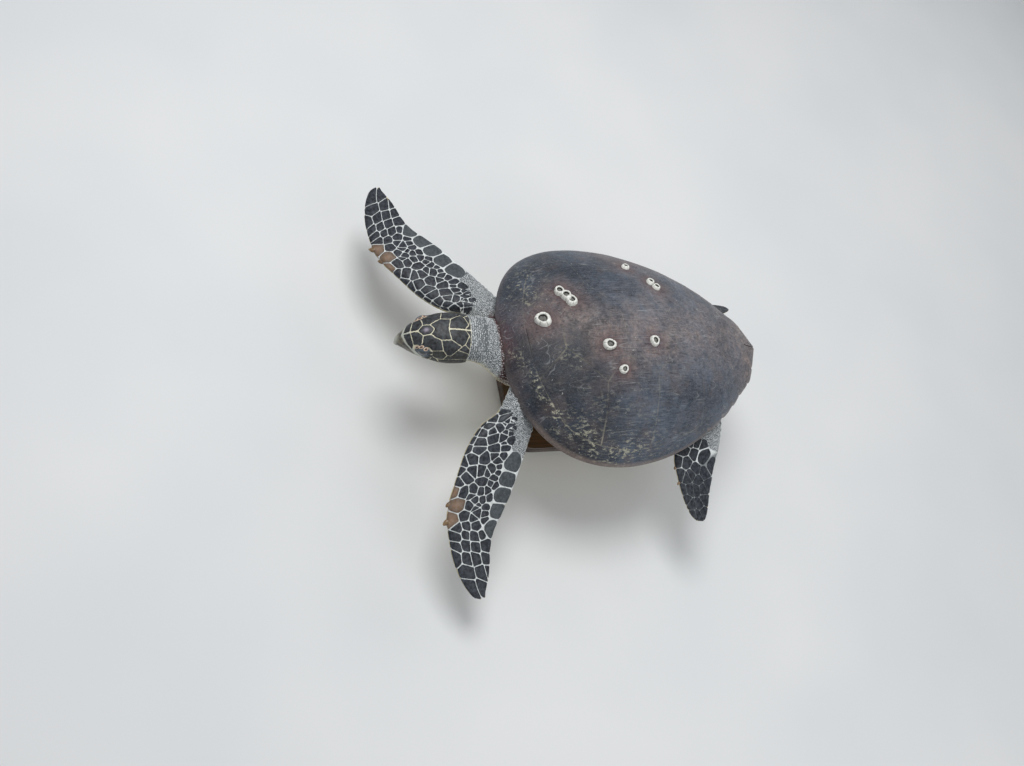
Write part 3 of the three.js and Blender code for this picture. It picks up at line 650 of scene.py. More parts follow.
here = unplaced(skin)
local = in_head(here)
behind = local[:, 1]
on_neck = eased(behind, -6, 6) * eased(here[:, 1], -318, -345) * (np.abs(local[:, 0]) < 120)
wobble, ripple = noise_at(here, 0.022), noise_at(here, 0.07)
rings = np.sin((behind + 9 * wobble) * 2 * np.pi / RING_GAP)
folds = on_neck * (RING_HEIGHT * rings * eased(behind, 60, 10) + NECK_RIPPLE * ripple)
for place in LIMBS.values():
    own = in_limb(here, place)
    near = eased(own[:, 0], 70, 30) * eased(own[:, 0], -70, -30) * (np.abs(own[:, 1]) < 120)
    waves = np.sin((own[:, 0] + 12 * wobble) * 2 * np.pi / SHOULDER_GAP)
    folds = folds + near * (SHOULDER_HEIGHT * waves * (1 - on_neck) + SHOULDER_RIPPLE * ripple)
move_points(skin, placed(here) + normals_of(skin) * folds[:, None] * 0.001)
with_modifier(skin, "SMOOTH", factor=0.35, iterations=1)


def paint(piece, name, values):
    """Stores one number or one linear colour for each point of a piece."""
    values = np.asarray(values, float)
    if values.ndim == 1:
        layer = piece.data.attributes.new(name, "FLOAT", "POINT")
        layer.data.foreach_set("value", values)
        return
    layer = piece.data.attributes.new(name, "FLOAT_COLOR", "POINT")
    layer.data.foreach_set("color", np.insert(values, 3, 1.0, axis=1).ravel())


def over(tones, share, tone):
    """Tones with another one laid over them, by a share for each point."""
    share = np.reshape(share, (-1, 1))
    return tones * (1 - share) + tone * share


def limb_axes(points, place):
    """Each point's a and c on a limb, and whether it lies on that limb at all."""
    limb = place[0]
    own = in_limb(points, place)
    a = own[:, 0]
    lead, trail = limb["lead"](a), limb["trail"](a)
    c = (-own[:, 1] - (lead + trail) / 2) / ((lead - trail) / 2)
    near = np.abs(own[:, 2] - limb["lift"](a)) < limb["thick"](a) / 2 + 6
    return a, c, near & (np.abs(c) < 1.1) & (a > -70) & (a < limb["tip"] + 5)


# How far forward the bare neck reaches, as p, at each angle from the crown.
skull_border = through((0, .013), (26, .018), (49, .032), (64, .037), (88, .047), (106, .038),
                       (132, .066), (150, .12), (180, .16))


def from_crown(local):
    """Each point's angle round the head, in degrees from the crown."""
    half, middle, high = head_section(np.clip(-local[:, 1] / HEAD_LENGTH, 0, 0.99))
    up = (local[:, 2] - middle) / high
    return np.degrees(np.arctan2((np.abs(local[:, 0]) / half) ** (1 / HEAD_EXPONENT),
                                 np.sign(up) * np.abs(up) ** (1 / HEAD_EXPONENT)))


def past_border(local):
    """How far each point lies ahead of the neck's end, as a share of the head's length."""
    return -local[:, 1] / HEAD_LENGTH - skull_border(from_crown(local))


def stain_share(points):
    """How much of the dark red film at the shell's front edge each point of the neck carries."""
    s = np.linspace(0, 0.2, 60)
    edge = np.interp(np.abs(points[:, 0]), half_width(s), along(s))
    near = (points[:, 1] < 0) * eased(np.abs(points[:, 0] + 15), 105, 80)
    return near * eased(edge - points[:, 1], 13, 3)


# Where the granules of each kind of limb end: the distance along it at which scales begin, and
# how far across its trailing part they are kept off at each distance.
SCALES_FROM = {"fore": -6, "hind": 54}
GRANULES_TO = {"fore": through((-6, .8), (6, .5), (20, .12), (40, -.05), (60, -.25), (80, -.42),
                               (95, -1.2)),
               "hind": through((40, -.1), (70, -.35), (84, -1.2))}


def granule_regions(points):
    """The skin's granular points, as masks by name: the rest of a limb carries scales."""
    x, y, z = points.T
    in_shell = ((np.abs(x) < 0.985 * half_width(share_at(y))) & (np.abs(y) < 372)
                & (z > shell_under(x, y) + 1))
    bare = {kind: np.zeros(len(points), bool) for kind in SCALES_FROM}
    scaled = np.zeros(len(points), bool)
    for key, place in LIMBS.items():
        kind = key.split("_")[0]
        a, c, on_it = limb_axes(points, place)
        root = (a < SCALES_FROM[kind]) | (c < GRANULES_TO[kind](np.minimum(a, 96)))
        bare[kind] |= on_it & root
        scaled |= on_it & ~root
    ahead = (y < -296) & (past_border(in_head(points)) < 0) & ~scaled & ~in_shell
    tail = (y > 300) & (np.abs(x) < 60)
    return {"neck": ahead & ~bare["fore"] & (np.abs(x + 20) < 120),
            "shoulder_left": ahead & (x > 0) & (bare["fore"] | (x > 100)),
            "shoulder_right": ahead & (x < 0) & (bare["fore"] | (x < -140)),
            "hind": (bare["hind"] | tail) & ~scaled & ~in_shell & (y > 0)}


SEAM_CREAM, SEAM_WHITE = linear(238, 232, 206), linear(232, 236, 236)
NECK_GREY, BLADE_GREY = linear(106, 111, 114), linear(138, 144, 146)
STAIN_RED, EDGE_BROWN = linear(74, 38, 38), linear(128, 102, 78)
BELLY_CREAM, LID_GREY = linear(221, 213, 180), linear(90, 102, 112)

here = unplaced(skin)
local = in_head(here)
p = -local[:, 1] / HEAD_LENGTH
granular = np.any(list(granule_regions(here).values()), axis=0)
tones = over(over(SEAM_WHITE, granular, NECK_GREY), stain_share(here), STAIN_RED)
for key, place in LIMBS.items():
    a, c, on_it = limb_axes(here, place)
    if key.startswith("fore"):
        worn_edge = eased(c, 0.955, 0.985) * eased(a, 160, 190) * eased(a, 310, 290)
        tones = over(tones, worn_edge * on_it, EDGE_BROWN)
    else:
        tones = over(tones, eased(a - 45 * (c + 1), 70, 84) * on_it, BLADE_GREY)
on_head = eased(past_border(local), -0.004, 0.004) * (np.abs(local[:, 0]) < 80)
tones = over(tones, on_head, SEAM_CREAM)
tones = over(tones, eased(normals_of(skin)[:, 2], 0.1, -0.5), BELLY_CREAM)
wider_below = np.where(local[:, 2] < EYE_Z - 6, 5.0, 0.0)
for sign in (1, -1):
    gap = np.linalg.norm(local - eye_centre(sign), axis=1) - wider_below
    tones = over(tones, eased(gap, 23, 20), LID_GREY)
# Painted shade: the skin in the mouth's slit between the beaks is painted dark.
mouth_slit_shade = eased(off_mouth(local, p), 2.4, 0.8) * eased(p, 0.4, 0.46)
paint(skin, "tone", over(tones, 0.8 * mouth_slit_shade, 0))

soft = Finish("soft_skin", Roughness=0.5, Specular_IOR_Level=0.4)
net = soft.node("TexVoronoi", "Distance", {"Vector": soft.node("TexCoord", "Object", {}),
                                           "Scale": 260}, feature="DISTANCE_TO_EDGE")
grain = soft.node("MapRange", "Result", {"Value": net, "From Max": 0.25})
tone = soft.painted("tone", "Color")
mottled = soft.mixed(soft.patches(60, 4.0), tone, (120, 122, 118), "MULTIPLY")
mottled = soft.mixed(0.75, mottled, tone)
soft.coloured(soft.mixed(0.25, mottled, (60, 60, 58)), (grain, mottled))
soft.raised(grain, 0.0004, 0.6)
soft.raised(soft.patches(220, 4.0), 0.0003, 0.5)
finished(skin, soft, "skin", "trunk", "neck", "head", "jaw", "tail", "upper_arm_left",
         "upper_arm_right", "fore_flipper_left", "fore_flipper_right", "thigh_left",
         "thigh_right", "hind_flipper_left", "hind_flipper_right")

# ---------------------------------------------------------------- scale coats
# The scales are thin plates of horn grown over the skin, with bare pale skin between them. Each
# is a low dome on its own root, and those of one limb or of the head are one coat.

SCALE_ROOT = 1.6  # millimetres that a scale reaches down into the skin
PATCH = 0.0015  # how far a scale's own patch reaches on its coat's map
CELL_SIDES = 12
FARTHEST_NEIGHBOUR = 95
SMALLEST_CELL = 4  # square millimetres


def clipped(outline, point, normal):
    """The part of a convex outline that lies behind a line."""
    kept = []
    sides = [(q[0] - point[0]) * normal[0] + (q[1] - point[1]) * normal[1] for q in outline]
    for i, here in enumerate(outline):
        j = (i + 1) % len(outline)
        if sides[i] <= 0:
            kept.append(here)
        if (sides[i] < 0 < sides[j]) or (sides[j] < 0 < sides[i]):
            k = sides[i] / (sides[i] - sides[j])
            kept.append((here[0] + k * (outline[j][0] - here[0]),
                         here[1] + k * (outline[j][1] - here[1])))
    return kept


def outline_area(outline):
    x, y = np.array(outline).T
    return 0.5 * (x @ np.roll(y, -1) - y @ np.roll(x, -1))


def drawn_in(outline, distance):
    """A convex outline with every side moved inwards."""
    result = outline
    for i, (x0, y0) in enumerate(outline):
        x1, y1 = outline[(i + 1) % len(outline)]
        length = math.hypot(x1 - x0, y1 - y0)
        if length < 1e-6:
            continue
        normal = ((y1 - y0) / length, (x0 - x1) / length)
        result = clipped(result, (x0 - normal[0] * distance, y0 - normal[1] * distance), normal)
        if len(result) < 3:
            return []
    return result


def rounded(outline, times, most):
    """An outline with its corners cut once or more, no further than most along each side."""
    for _ in range(times):
        cut = []
        for (x0, y0), (x1, y1) in zip(outline, outline[1:] + outline[:1]):
            k = min(0.24, most / max(math.hypot(x1 - x0, y1 - y0), 1e-6))
            cut += [(x0 + k * (x1 - x0), y0 + k * (y1 - y0)),
                    (x1 + k * (x0 - x1), y1 + k * (y0 - y1))]
        outline = cut
    return outline


def stepped(outline, step):
    """An outline with points added so that no side is much longer than a step."""
    result = []
    for i, (x0, y0) in enumerate(outline):
        x1, y1 = outline[(i + 1) % len(outline)]
        count = max(1, round(math.hypot(x1 - x0, y1 - y0) / step))
        result += [(x0 + (x1 - x0) * k / count, y0 + (y1 - y0) * k / count)
                   for k in range(count)]
    return result


def outline_drawn_in(outline, distance):
    """Any counter-clockwise outline, moved inwards along its corners' normals."""
    here = np.array(outline)
    normals = []
    for edge in (here - np.roll(here, 1, 0), np.roll(here, -1, 0) - here):
        length = np.maximum(np.linalg.norm(edge, axis=1, keepdims=True), 1e-9)
        normals.append(np.stack([edge[:, 1], -edge[:, 0]], -1) / length)
    scale = distance / np.maximum(0.3, 1 + np.sum(normals[0] * normals[1], 1, keepdims=True))
    return here - (normals[0] + normals[1]) * scale


def wandered(points, most, scale, lifts):
    """Flat points moved at most so far each way, by soft noise at two heights."""
    moves = np.transpose([noise_at(points, scale, lift) for lift in lifts])
    return np.asarray(points) + moves * np.reshape(most, (-1, 1))


def roughened(outline, most=0.6):
    """An outline with a slightly uneven edge."""
    return wandered(outline, most, 0.25, (12, 28))


def cells(seeds, bounds, reaches):
    """Convex cells round (x, y, radius) seeds, which share out the room by their radii, up to
    each one's reach. bounds gives the (point, normal) lines that also cut the cell of a seed."""
    result = []
    for i, ((x, y, radius), reach) in enumerate(zip(seeds, reaches)):
        cell = [(x + reach * math.cos(k), y + reach * math.sin(k)) for k in circle(CELL_SIDES)]
        for j, (other_x, other_y, other_radius) in enumerate(seeds):
            gap = math.hypot(other_x - x, other_y - y)
            if j == i or gap > FARTHEST_NEIGHBOUR or gap < 1e-6:
                continue
            share = 0.5 + (radius ** 2 - other_radius ** 2) / (2 * gap ** 2)
            normal = ((other_x - x) / gap, (other_y - y) / gap)
            cell = clipped(cell, (x + (other_x - x) * share, y + (other_y - y) * share), normal)
            if len(cell) < 3:
                break
        for point, normal in bounds(x, y):
            if len(cell) >= 3:
                cell = clipped(cell, point, normal)
        wide = len(cell) >= 3 and outline_area(cell) > SMALLEST_CELL
        result.append(cell if wide else None)
    return result


def raised_points(at, u, v, steps, inner, height):
    """Points at(u, v) of a surface, raised along its normal, away from points inside it."""
    flat = at(u, v)
    normal = np.cross(at(u + steps[0], v) - at(u - steps[0], v),
                      at(u, v + steps[1]) - at(u, v - steps[1]))
    normal *= np.sign(np.sum(normal * (flat - inner), 1, keepdims=True) + 1e-12)
    return flat + normal / np.linalg.norm(normal, axis=1, keepdims=True) * height


def unwrapped(piece, places):
    """Gives a piece the map OFBake, with one place on it for each of the piece's points."""
    chart = piece.data.uv_layers.new(name="OFBake")
    corners = held(piece.data.loops, "vertex_index", 1, int)[:, 0]
    chart.data.foreach_set("uv", np.asarray(places)[corners].ravel())


class Coat:
    """Scales gathered into one mesh, each with its own colour and its patch of the map."""

    def __init__(self):
        self.points, self.faces, self.tones, self.map = [], [], [], []

    def add_scale(self, outline, surface, root, tone, rise, rim_tone=None, core_tone=None,
                  core_share=0.5):
        """outline is in the chart that surface(points, height) lifts off the skin."""
        outline = np.array(outline)
        count, start = len(outline), len(self.points)
        centre = outline.mean(0)
        size = np.abs(outline - centre).max()
        rim_tone = tone if rim_tone is None else rim_tone
        core_tone = tone if core_tone is None else core_tone
        rings = [(1.0, -SCALE_ROOT, rim_tone), (1.0, 0.35 * rise, rim_tone),
                 (1 - min(0.4, 1.3 / size), 0.85 * rise, tone),
                 (0.5, rise, tone + (core_tone - tone) * core_share)]
        for share, height, ring_tone in rings:
            chart = centre + (outline - centre) * share
            self.points += list(surface(chart, height))
            self.tones += [ring_tone] * count
            self.map += [tuple(root + PATCH * (q - centre) / size) for q in chart]
        self.points.append(surface(centre[None], 1.04 * rise)[0])
        self.tones.append(core_tone)
        self.map.append(tuple(root))
        for low in range(start, start + 3 * count, count):
            self.faces += [(low + i, low + (i + 1) % count, low + count + (i + 1) % count,
                            low + count + i) for i in range(count)]
        top, tip = start + 3 * count, start + 4 * count
        self.faces += [(top + i, top + (i + 1) % count, tip) for i in range(count)]
        self.faces.append(tuple(start + i for i in range(count))[::-1])

    def piece(self, name):
        made = new_piece(name, placed(self.points), self.faces)
        paint(made, "tone", self.tones)
        unwrapped(made, self.map)
        finished(made, horn_scale, "scales", angle=50)


horn_scale = Finish("horn_scale", Roughness=0.45, Specular_IOR_Level=0.28)
tone = horn_scale.painted("tone", "Color")
fleck = horn_scale.patches(500, 3.0, contrast=(0.62, 0.75))
horn_scale.coloured(tone, (horn_scale.patches(140, 4.0),
                           horn_scale.mixed(0.10, tone, (170, 180, 190))),
                    (horn_scale.times(fleck, 0.25), (150, 150, 145)))
horn_scale.raised(horn_scale.patches(420, 4.0), 0.00025, 0.5)

# ---------------------------------------------------------------- flipper scales
# Dark scales lie close together down each flipper, smallest at the shoulder and in rows over the
# hand. A few large grey ovals follow the arm's trailing edge, and the scales at the bend of the
# leading edge are worn to orange brown.

DARK_SCALE, GREY_SCALE = linear(20, 23, 31), linear(58, 63, 66)
WORN_BROWN, WORN_PALE = linear(96, 76, 58), linear(134, 108, 86)
UNDER_SCALE = linear(205, 193, 150)
ROUND = np.linspace(-np.pi / 2, np.pi / 2, 41)  # from the trailing edge over to the leading one
FAR_EDGE = 0.4  # how far inside the limb's edge the last scales end
JITTER = 1.5
SCALE_STEP = 3.5
random.seed(11)

# Each kind's radius, how much skin shows at its edge, how far it reaches, and its colour.
KINDS = {
    "big": (11, 1.1, 28, DARK_SCALE), "plain": (9.5, 1.05, 25, DARK_SCALE),
    "small": (7, 0.95, 18, DARK_SCALE), "tiny": (5, 0.85, 12, DARK_SCALE),
    "oval": (18, 1.7, 30, GREY_SCALE), "worn": (12, 1.2, 24, WORN_BROWN),
    "blade": (11, 0.6, 28, DARK_SCALE), "spot": (17, 2.4, 26, DARK_SCALE),
}
# Places (a, share of the way round to the leading edge, or below 0 to the trailing edge).
FORE_SCALES = {
    "big": [(22, .83), (66, .37), (85, .70), (100, .66), (117, .34), (126, .69), (168, .69),
            (205, .64), (287, .60), (304, .66), (346, .80), (345, .24), (340, -.24), (375, .32),
            (370, -.50), (406, .32), (293, -.15), (319, .23), (315, -.20), (335, -.80),
            (311, -.74), (325, .70)],
    "plain": [(42, .76), (61, .76), (52, .50), (38, .40), (15, .58), (57, .10), (90, .18),
              (146, .34), (153, .58), (170, .18), (195, .34), (191, .10), (214, .18), (227, .28),
              (254, .32), (243, -.06), (270, -.15), (275, .22), (297, .23), (135, .02),
              (401, -.55), (185, .90), (254, .00), (365, -1)],
    "small": [(3, .74), (30, .17), (49, .10), (60, -.15), (79, -.11), (84, .95), (102, .93),
              (135, .90), (158, .93), (104, .12), (114, -.08), (145, .13), (185, -.08),
              (208, -.05), (153, -.15), (60, .96), (36, .97), (206, .33), (232, .06),
              (238, -.30)],
    "tiny": [(30, .35), (45, -.02), (100, -.17), (126, -.14), (140, -.20), (167, -.12),
             (201, -.26), (221, .04), (225, -.28), (252, -.45), (286, -.50), (70, -.05),
             (171, -.28), (20, .35), (14, .22), (36, -.02)],
    "oval": [(109, -.57), (149, -.55), (187, -.60), (226, -.72), (266, -.80)],
    "worn": [(233, .66), (271, .80), (206, .95)],
}
HIND_SCALES = {
    "spot": [(94, -.27), (116, -.84)],
    "blade": [(133, .04), (138, -.45), (117, .50), (149, .82), (155, .50), (146, .28),
              (157, -.12), (168, -.80), (186, .84), (184, .42), (183, -.02), (180, -.46),
              (210, .86), (222, .48), (220, -.10), (206, -.66), (245, .7), (246, .1),
              (237, -.62)],
    "plain": [(114, .80), (88, .60), (92, .20)],
    "small": [(66, .45), (64, .12), (62, .8), (70, -.10)],
}
LIMB_SCALES = {"fore": (FORE_SCALES, -8), "hind": (HIND_SCALES, 52)}  # and where they begin


def section_lengths(limb, a):
    """The way over the skin at each a, from a limb's middle to each step of ROUND."""
    a = np.atleast_1d(a)[:, None]
    c = np.sin(ROUND)[None]
    across = (limb["lead"](a) - limb["trail"](a)) / 2 * c
    up = limb["thick"](a) / 2 * (0.8 + 0.3 * c) * np.cos(ROUND)[None]
    steps = np.hypot(np.diff(across, axis=1), np.diff(up, axis=1))
    length = np.concatenate((np.zeros((len(a), 1)), np.cumsum(steps, axis=1)), axis=1)
    middle = len(ROUND) // 2
    return length - length[:, middle:middle + 1]


def edge_length(limb, a, sign):
    """The way over the skin from the middle to the leading edge, or to the trailing one."""
    return float(section_lengths(limb, a)[0, -1 if sign > 0 else 0])


def on_limb_chart(place, side, chart, height):
    """The turtle's points above chart points (a, way over the skin from the middle)."""
    limb = place[0]
    a = np.clip(chart[:, 0], limb["start"], limb["tip"])
    lengths = section_lengths(limb, a)
    way = np.clip(chart[:, 1], lengths[:, 0], lengths[:, -1])
    step = np.clip(np.sum(lengths <= way[:, None], axis=1) - 1, 0, len(ROUND) - 2)
    rows = np.arange(len(a))
    before, after = lengths[rows, step], lengths[rows, step + 1]
    angle = ROUND[step] + (way - before) / np.maximum(after - before, 1e-9) * (ROUND[1] - ROUND[0])

    def at(a, angle):
        return on_limb(limb, a, np.sin(np.clip(angle, ROUND[0], ROUND[-1])), side)

    inner = np.stack([a, -(limb["lead"](a) + limb["trail"](a)) / 2, limb["lift"](a)], -1)
    return from_limb(raised_points(at, a, angle, (1, 0.03), inner, height), place)


def limb_coat(place, scales, first):
    """The scales of one limb, above and below, from the distance first along it."""
    limb = place[0]
    coat = Coat()

    def bounds(x, y):
        lines = [((limb["tip"] - 1.5, 0), (1, 0)), ((first, 0), (-1, 0))]
        for sign in (1, -1):
            for at in (x - 9, x + 9):
                edge = edge_length(limb, at, sign)
                slope = (edge_length(limb, at + 3, sign) - edge_length(limb, at - 3, sign)) / 6
                length = math.hypot(1, slope)
                lines.append(((at, edge - sign * FAR_EDGE),
                              (-sign * slope / length, sign / length)))
        return lines

    for side in (1, -1):
        seeds, kinds = [], []
        for kind, places in scales.items():
            for a, share in places:
                way = abs(share) * edge_length(limb, a, share)
                seeds.append((a + random.uniform(-JITTER, JITTER),
                              way + random.uniform(-JITTER, JITTER),
                              KINDS[kind][0] * random.uniform(0.95, 1.05)))
                kinds.append(kind)
        reaches = [KINDS[kind][2] for kind in kinds]
        for cell, kind, (a, way, radius) in zip(cells(seeds, bounds, reaches), kinds, seeds):
            if cell is None:
                continue
            cell = drawn_in(cell, KINDS[kind][1] * random.uniform(0.85, 1.15))
            if len(cell) < 3 or abs(outline_area(cell)) < 2 * SMALLEST_CELL:
                continue
            cuts = (2, 7) if kind in ("oval", "spot") else (1, 2.6)
            tone = KINDS[kind][3]
            if side < 0:
                tone = UNDER_SCALE * 0.8 + tone * 0.2
            tone = tone * random.uniform(0.85, 1.2)
            root = np.array(((a + 30) * 0.0021, 0.25 + 0.5 * (side < 0) + way * 0.0015))
            coat.add_scale(roughened(stepped(rounded(cell, *cuts), SCALE_STEP)),
                           partial(on_limb_chart, place, side), root, tone,
                           rise=0.03 * radius + 0.35,
                           core_tone=WORN_PALE if kind == "worn" and side > 0 else None)
    return coat


for key, place in LIMBS.items():
    kind, side = key.split("_")
    limb_coat(place, *LIMB_SCALES[kind]).piece(f"{kind}_flipper_scales_{side}")

# ---------------------------------------------------------------- head shields
# The skull carries large smooth shields round a single one on the crown, with cream skin between
# them. Smaller ones cover the cheeks. Six small ones ring each eye, the front three with orange
# edges.

# The crown shield's pale middle is a painted highlight.
SHIELD, CHEEK, CROWN_HIGHLIGHT = linear(32, 32, 33), linear(44, 44, 39), linear(164, 154, 170)
EYE_ORANGE, LASH_BROWN = linear(222, 194, 168), linear(74, 52, 42)
SHIELD_SEAM, CHEEK_SEAM = 1.0, 1.2
LID_REACH = 18.8  # millimetres from the eye's centre to the lids' outer face

# Corners (p, degrees from the crown towards the left). Both sides use the left's.
CORNERS = {
    "a1": (.936, 0), "a2": (.846, 0), "a3": (.746, 0), "b3": (.53, 0), "e3": (.332, 0),
    "f1": (.098, 0), "rear": (.015, 0), "beak2": (.892, 54), "beak3": (.806, 84), "b5": (.68, 14),
    "b4": (.583, 11), "c2": (.80, 54), "d2": (.698, 47), "e6": (.515, 19), "e5": (.440, 25),
    "e4": (.30, 23), "f4": (.045, 11), "f5": (.106, 34), "f6": (.15, 40), "rear2": (.02, 26),
    "rear3": (.035, 49), "g1": (.406, 54), "g2": (.348, 69), "g3": (.294, 70), "g4": (.208, 50),
    "h1": (.554, 62), "or3": (.60, 52), "i1": (.545, 84), "i2": (.468, 90), "i3": (.388, 88),
    "j1": (.56, 112), "j2": (.398, 118), "j3": (.26, 114), "j4": (.05, 88), "k2": (.04, 64),
    "q1": (.66, 118), "q2": (.555, 119), "q3": (.43, 125), "q4": (.44, 146), "q5": (.55, 150),
    "q6": (.655, 150), "n1": (.42, 140), "n2": (.27, 142), "n3": (.07, 132), "n4": (.04, 106),
}
# Each shield's corners. "+" marks a corner of the shield's own side and "-" its twin.
CROWN_SHIELDS = ["a3 +b5 +b4 b3 -b4 -b5", "b3 +b4 +e6 +e5 +e4 e3 -e4 -e5 -e6 -b4"]
SIDE_SHIELDS = ["a1 a2 +c2 +beak3 +beak2", "a2 a3 +b5 +d2 +c2",
                "+b5 +b4 +e6 +e5 +g1 +h1 +or3 +d2", "e3 +e4 +f6 +f5 +f4 f1",
                "+e5 +e4 +f6 +g4 +g3 +g2 +g1", "f1 +f4 +rear2 rear", "+f4 +f5 +rear3 +rear2",
                "+f5 +f6 +g4 +k2 +rear3"]
CHEEK_SHIELDS = ["+g1 +g2 +i3 +i2 +i1 +h1", "+g2 +g3 +g4 +k2 +j4 +i3", "+i2 +i3 +j4 +j3 +j2",
                 "+i1 +i2 +j2 +j1", "+j2 +j3 +n2 +n1", "+j3 +j4 +n4 +n3 +n2", "+q1 +q2 +q5 +q6",
                 "+q2 +q3 +q4 +q5"]
# The small shields round the eye, as (p, degrees from the crown, the tone of their rims).
LASHES = [(.75, 59, EYE_ORANGE), (.695, 54, EYE_ORANGE), (.637, 58, EYE_ORANGE),
          (.575, 71, CHEEK), (.565, 86, CHEEK), (.59, 99, CHEEK)]
LASH_RADIUS = 5.2


def chart_width(p):
    """Millimetres for each degree round the head."""
    return 0.85 * head_half(np.clip(p, 0, 0.97)) / 58


def head_place(p, turned):
    """A place on the head in its chart, where both ways are in millimetres."""
    return p * HEAD_LENGTH, turned * float(chart_width(p))


def head_surface(chart, height):
    p = np.clip(chart[:, 0] / HEAD_LENGTH, 0, 0.99)
    angle = np.radians(90 - chart[:, 1] / chart_width(p))

    def at(p, angle):
        half, middle, high = head_section(p)
        c, s = np.cos(angle), np.sin(angle)
        return np.stack([half * np.sign(c) * np.abs(c) ** HEAD_EXPONENT, -p * HEAD_LENGTH,
                         middle + high * np.sign(s) * np.abs(s) ** HEAD_EXPONENT], -1)

    inner = np.stack([0 * p, -p * HEAD_LENGTH, head_section(p)[1]], -1)
    lifted = raised_points(at, p, angle, (0.004, 0.02), inner, height)
    for sign in (1, -1):
        out = lifted - eye_centre(sign)
        distance = np.linalg.norm(out, axis=1, keepdims=True)
        on_lid = (distance < LID_REACH + height) & (out[:, :1] * sign > 0)
        lifted = np.where(on_lid, eye_centre(sign) + out * (LID_REACH + height) / distance, lifted)
    return from_head(lifted)


def map_root(x, y):
    return np.array((0.1 + x / HEAD_LENGTH * 0.8, 0.5 + y * 0.0017))


coat = Coat()
shields = [(names, SHIELD, SHIELD_SEAM, 1) for names in CROWN_SHIELDS]
shields += [(names, SHIELD, SHIELD_SEAM, sign) for names in SIDE_SHIELDS for sign in (1, -1)]
shields += [(names, CHEEK, CHEEK_SEAM, sign) for names in CHEEK_SHIELDS for sign in (1, -1)]
for names, tone, seam, sign in shields:
    outline = []
    for name in names.split():
        p, turned = CORNERS[name.strip("+-")]
        outline.append(head_place(p, -sign * turned if name[0] == "-" else sign * turned))
    if outline_area(outline) < 0:
        outline = outline[::-1]
    outline = stepped(rounded(outline, 1, 1.2), 2.5)
    outline = roughened(outline_drawn_in(outline, seam), 0.9)
    # The crown shield's core colour is a painted highlight at its middle.
    coat.add_scale(outline, head_surface, map_root(*np.mean(outline, axis=0)),
                   tone * random.uniform(0.9, 1.12), rise=0.7,
                   core_tone=CROWN_HIGHLIGHT if names == CROWN_SHIELDS[0] else None, core_share=0.1)
for sign in (1, -1):
    for p, turned, rim_tone in LASHES:
        x, y = head_place(p, sign * turned)
        outline = [(x + LASH_RADIUS * math.cos(k), y + 0.8 * LASH_RADIUS * math.sin(k))
                   for k in circle(14)]
        coat.add_scale(outline, head_surface, map_root(x, y), 0.85 * rim_tone, rise=0.8,
                       rim_tone=rim_tone, core_share=1.0,
                       core_tone=LASH_BROWN if rim_tone is EYE_ORANGE else SHIELD)
coat.piece("head_shields")

# ---------------------------------------------------------------- skin granules
# The neck, the shoulders, the limbs' roots and the tail carry fine grey-white granules instead
# of scales. Behind the skull they are long and narrow, in rings round the neck.

GRANULE_GAP = 2.7  # millimetres between neighbours
GRANULE_TRIES = 0.45  # half the number of tries for each square millimetre
GRANULE_SIZE = 0.47 * GRANULE_GAP
GRANULE_SIDES = 7
GRANULE_RINGS = [(1.0, -0.5), (0.74, 0.3)]
GRANULE_TOP = 0.5
FURROW_GAP = 5.2  # millimetres between the furrows behind the skull, whose granules carry painted shade
GRANULE_WHITE, GRANULE_GREY = linear(243, 246, 246), linear(200, 206, 208)
GRANULE_DARK, GRANULE_CREAM = linear(86, 91, 95), linear(214, 205, 172)
NECK_SHARES, OTHER_SHARES = (.11, .34), (.03, .2)  # of dark granules, and of dark and grey


def granule_body(centres, normals, long, stretch, size):
    """Points and faces of low domes, each longer one way by its stretch."""
    across = long - normals * np.sum(long * normals, 1, keepdims=True)
    across /= np.maximum(np.linalg.norm(across, axis=1, keepdims=True), 1e-9)
    turn = circle(GRANULE_SIDES)[None, :, None]
    foot = (np.cos(turn) * (across * (size * stretch)[:, None])[:, None]
            + np.sin(turn) * (np.cross(normals, across) * (size / stretch)[:, None])[:, None])
    rings = [centres[:, None] + foot * share + normals[:, None] * height
             for share, height in GRANULE_RINGS]
    points = np.concatenate([*rings, (centres + normals * GRANULE_TOP)[:, None]], axis=1)
    pattern = [tuple(range(GRANULE_SIDES))[::-1]]
    for i in range(GRANULE_SIDES):
        j = (i + 1) % GRANULE_SIDES
        pattern.append((i, j, j + GRANULE_SIDES, i + GRANULE_SIDES))
        pattern.append((i + GRANULE_SIDES, j + GRANULE_SIDES, 2 * GRANULE_SIDES))
    each = points.shape[1]
    faces = [tuple(start + k for k in face)
             for start in range(0, each * len(centres), each) for face in pattern]
    return points.reshape(-1, 3), faces, each


def apart(points, gap):
    """The numbers of those points that stay when none may lie closer than a gap to another."""
    near = KDTree(len(points))
    for i, point in enumerate(points):
        near.insert(point, i)
    near.balance()
    free = np.ones(len(points), bool)
    kept = []
    for i, point in enumerate(points):
        if free[i]:
            kept.append(i)
            for _, j, _ in near.find_range(point, gap):
                free[j] = False
    return kept


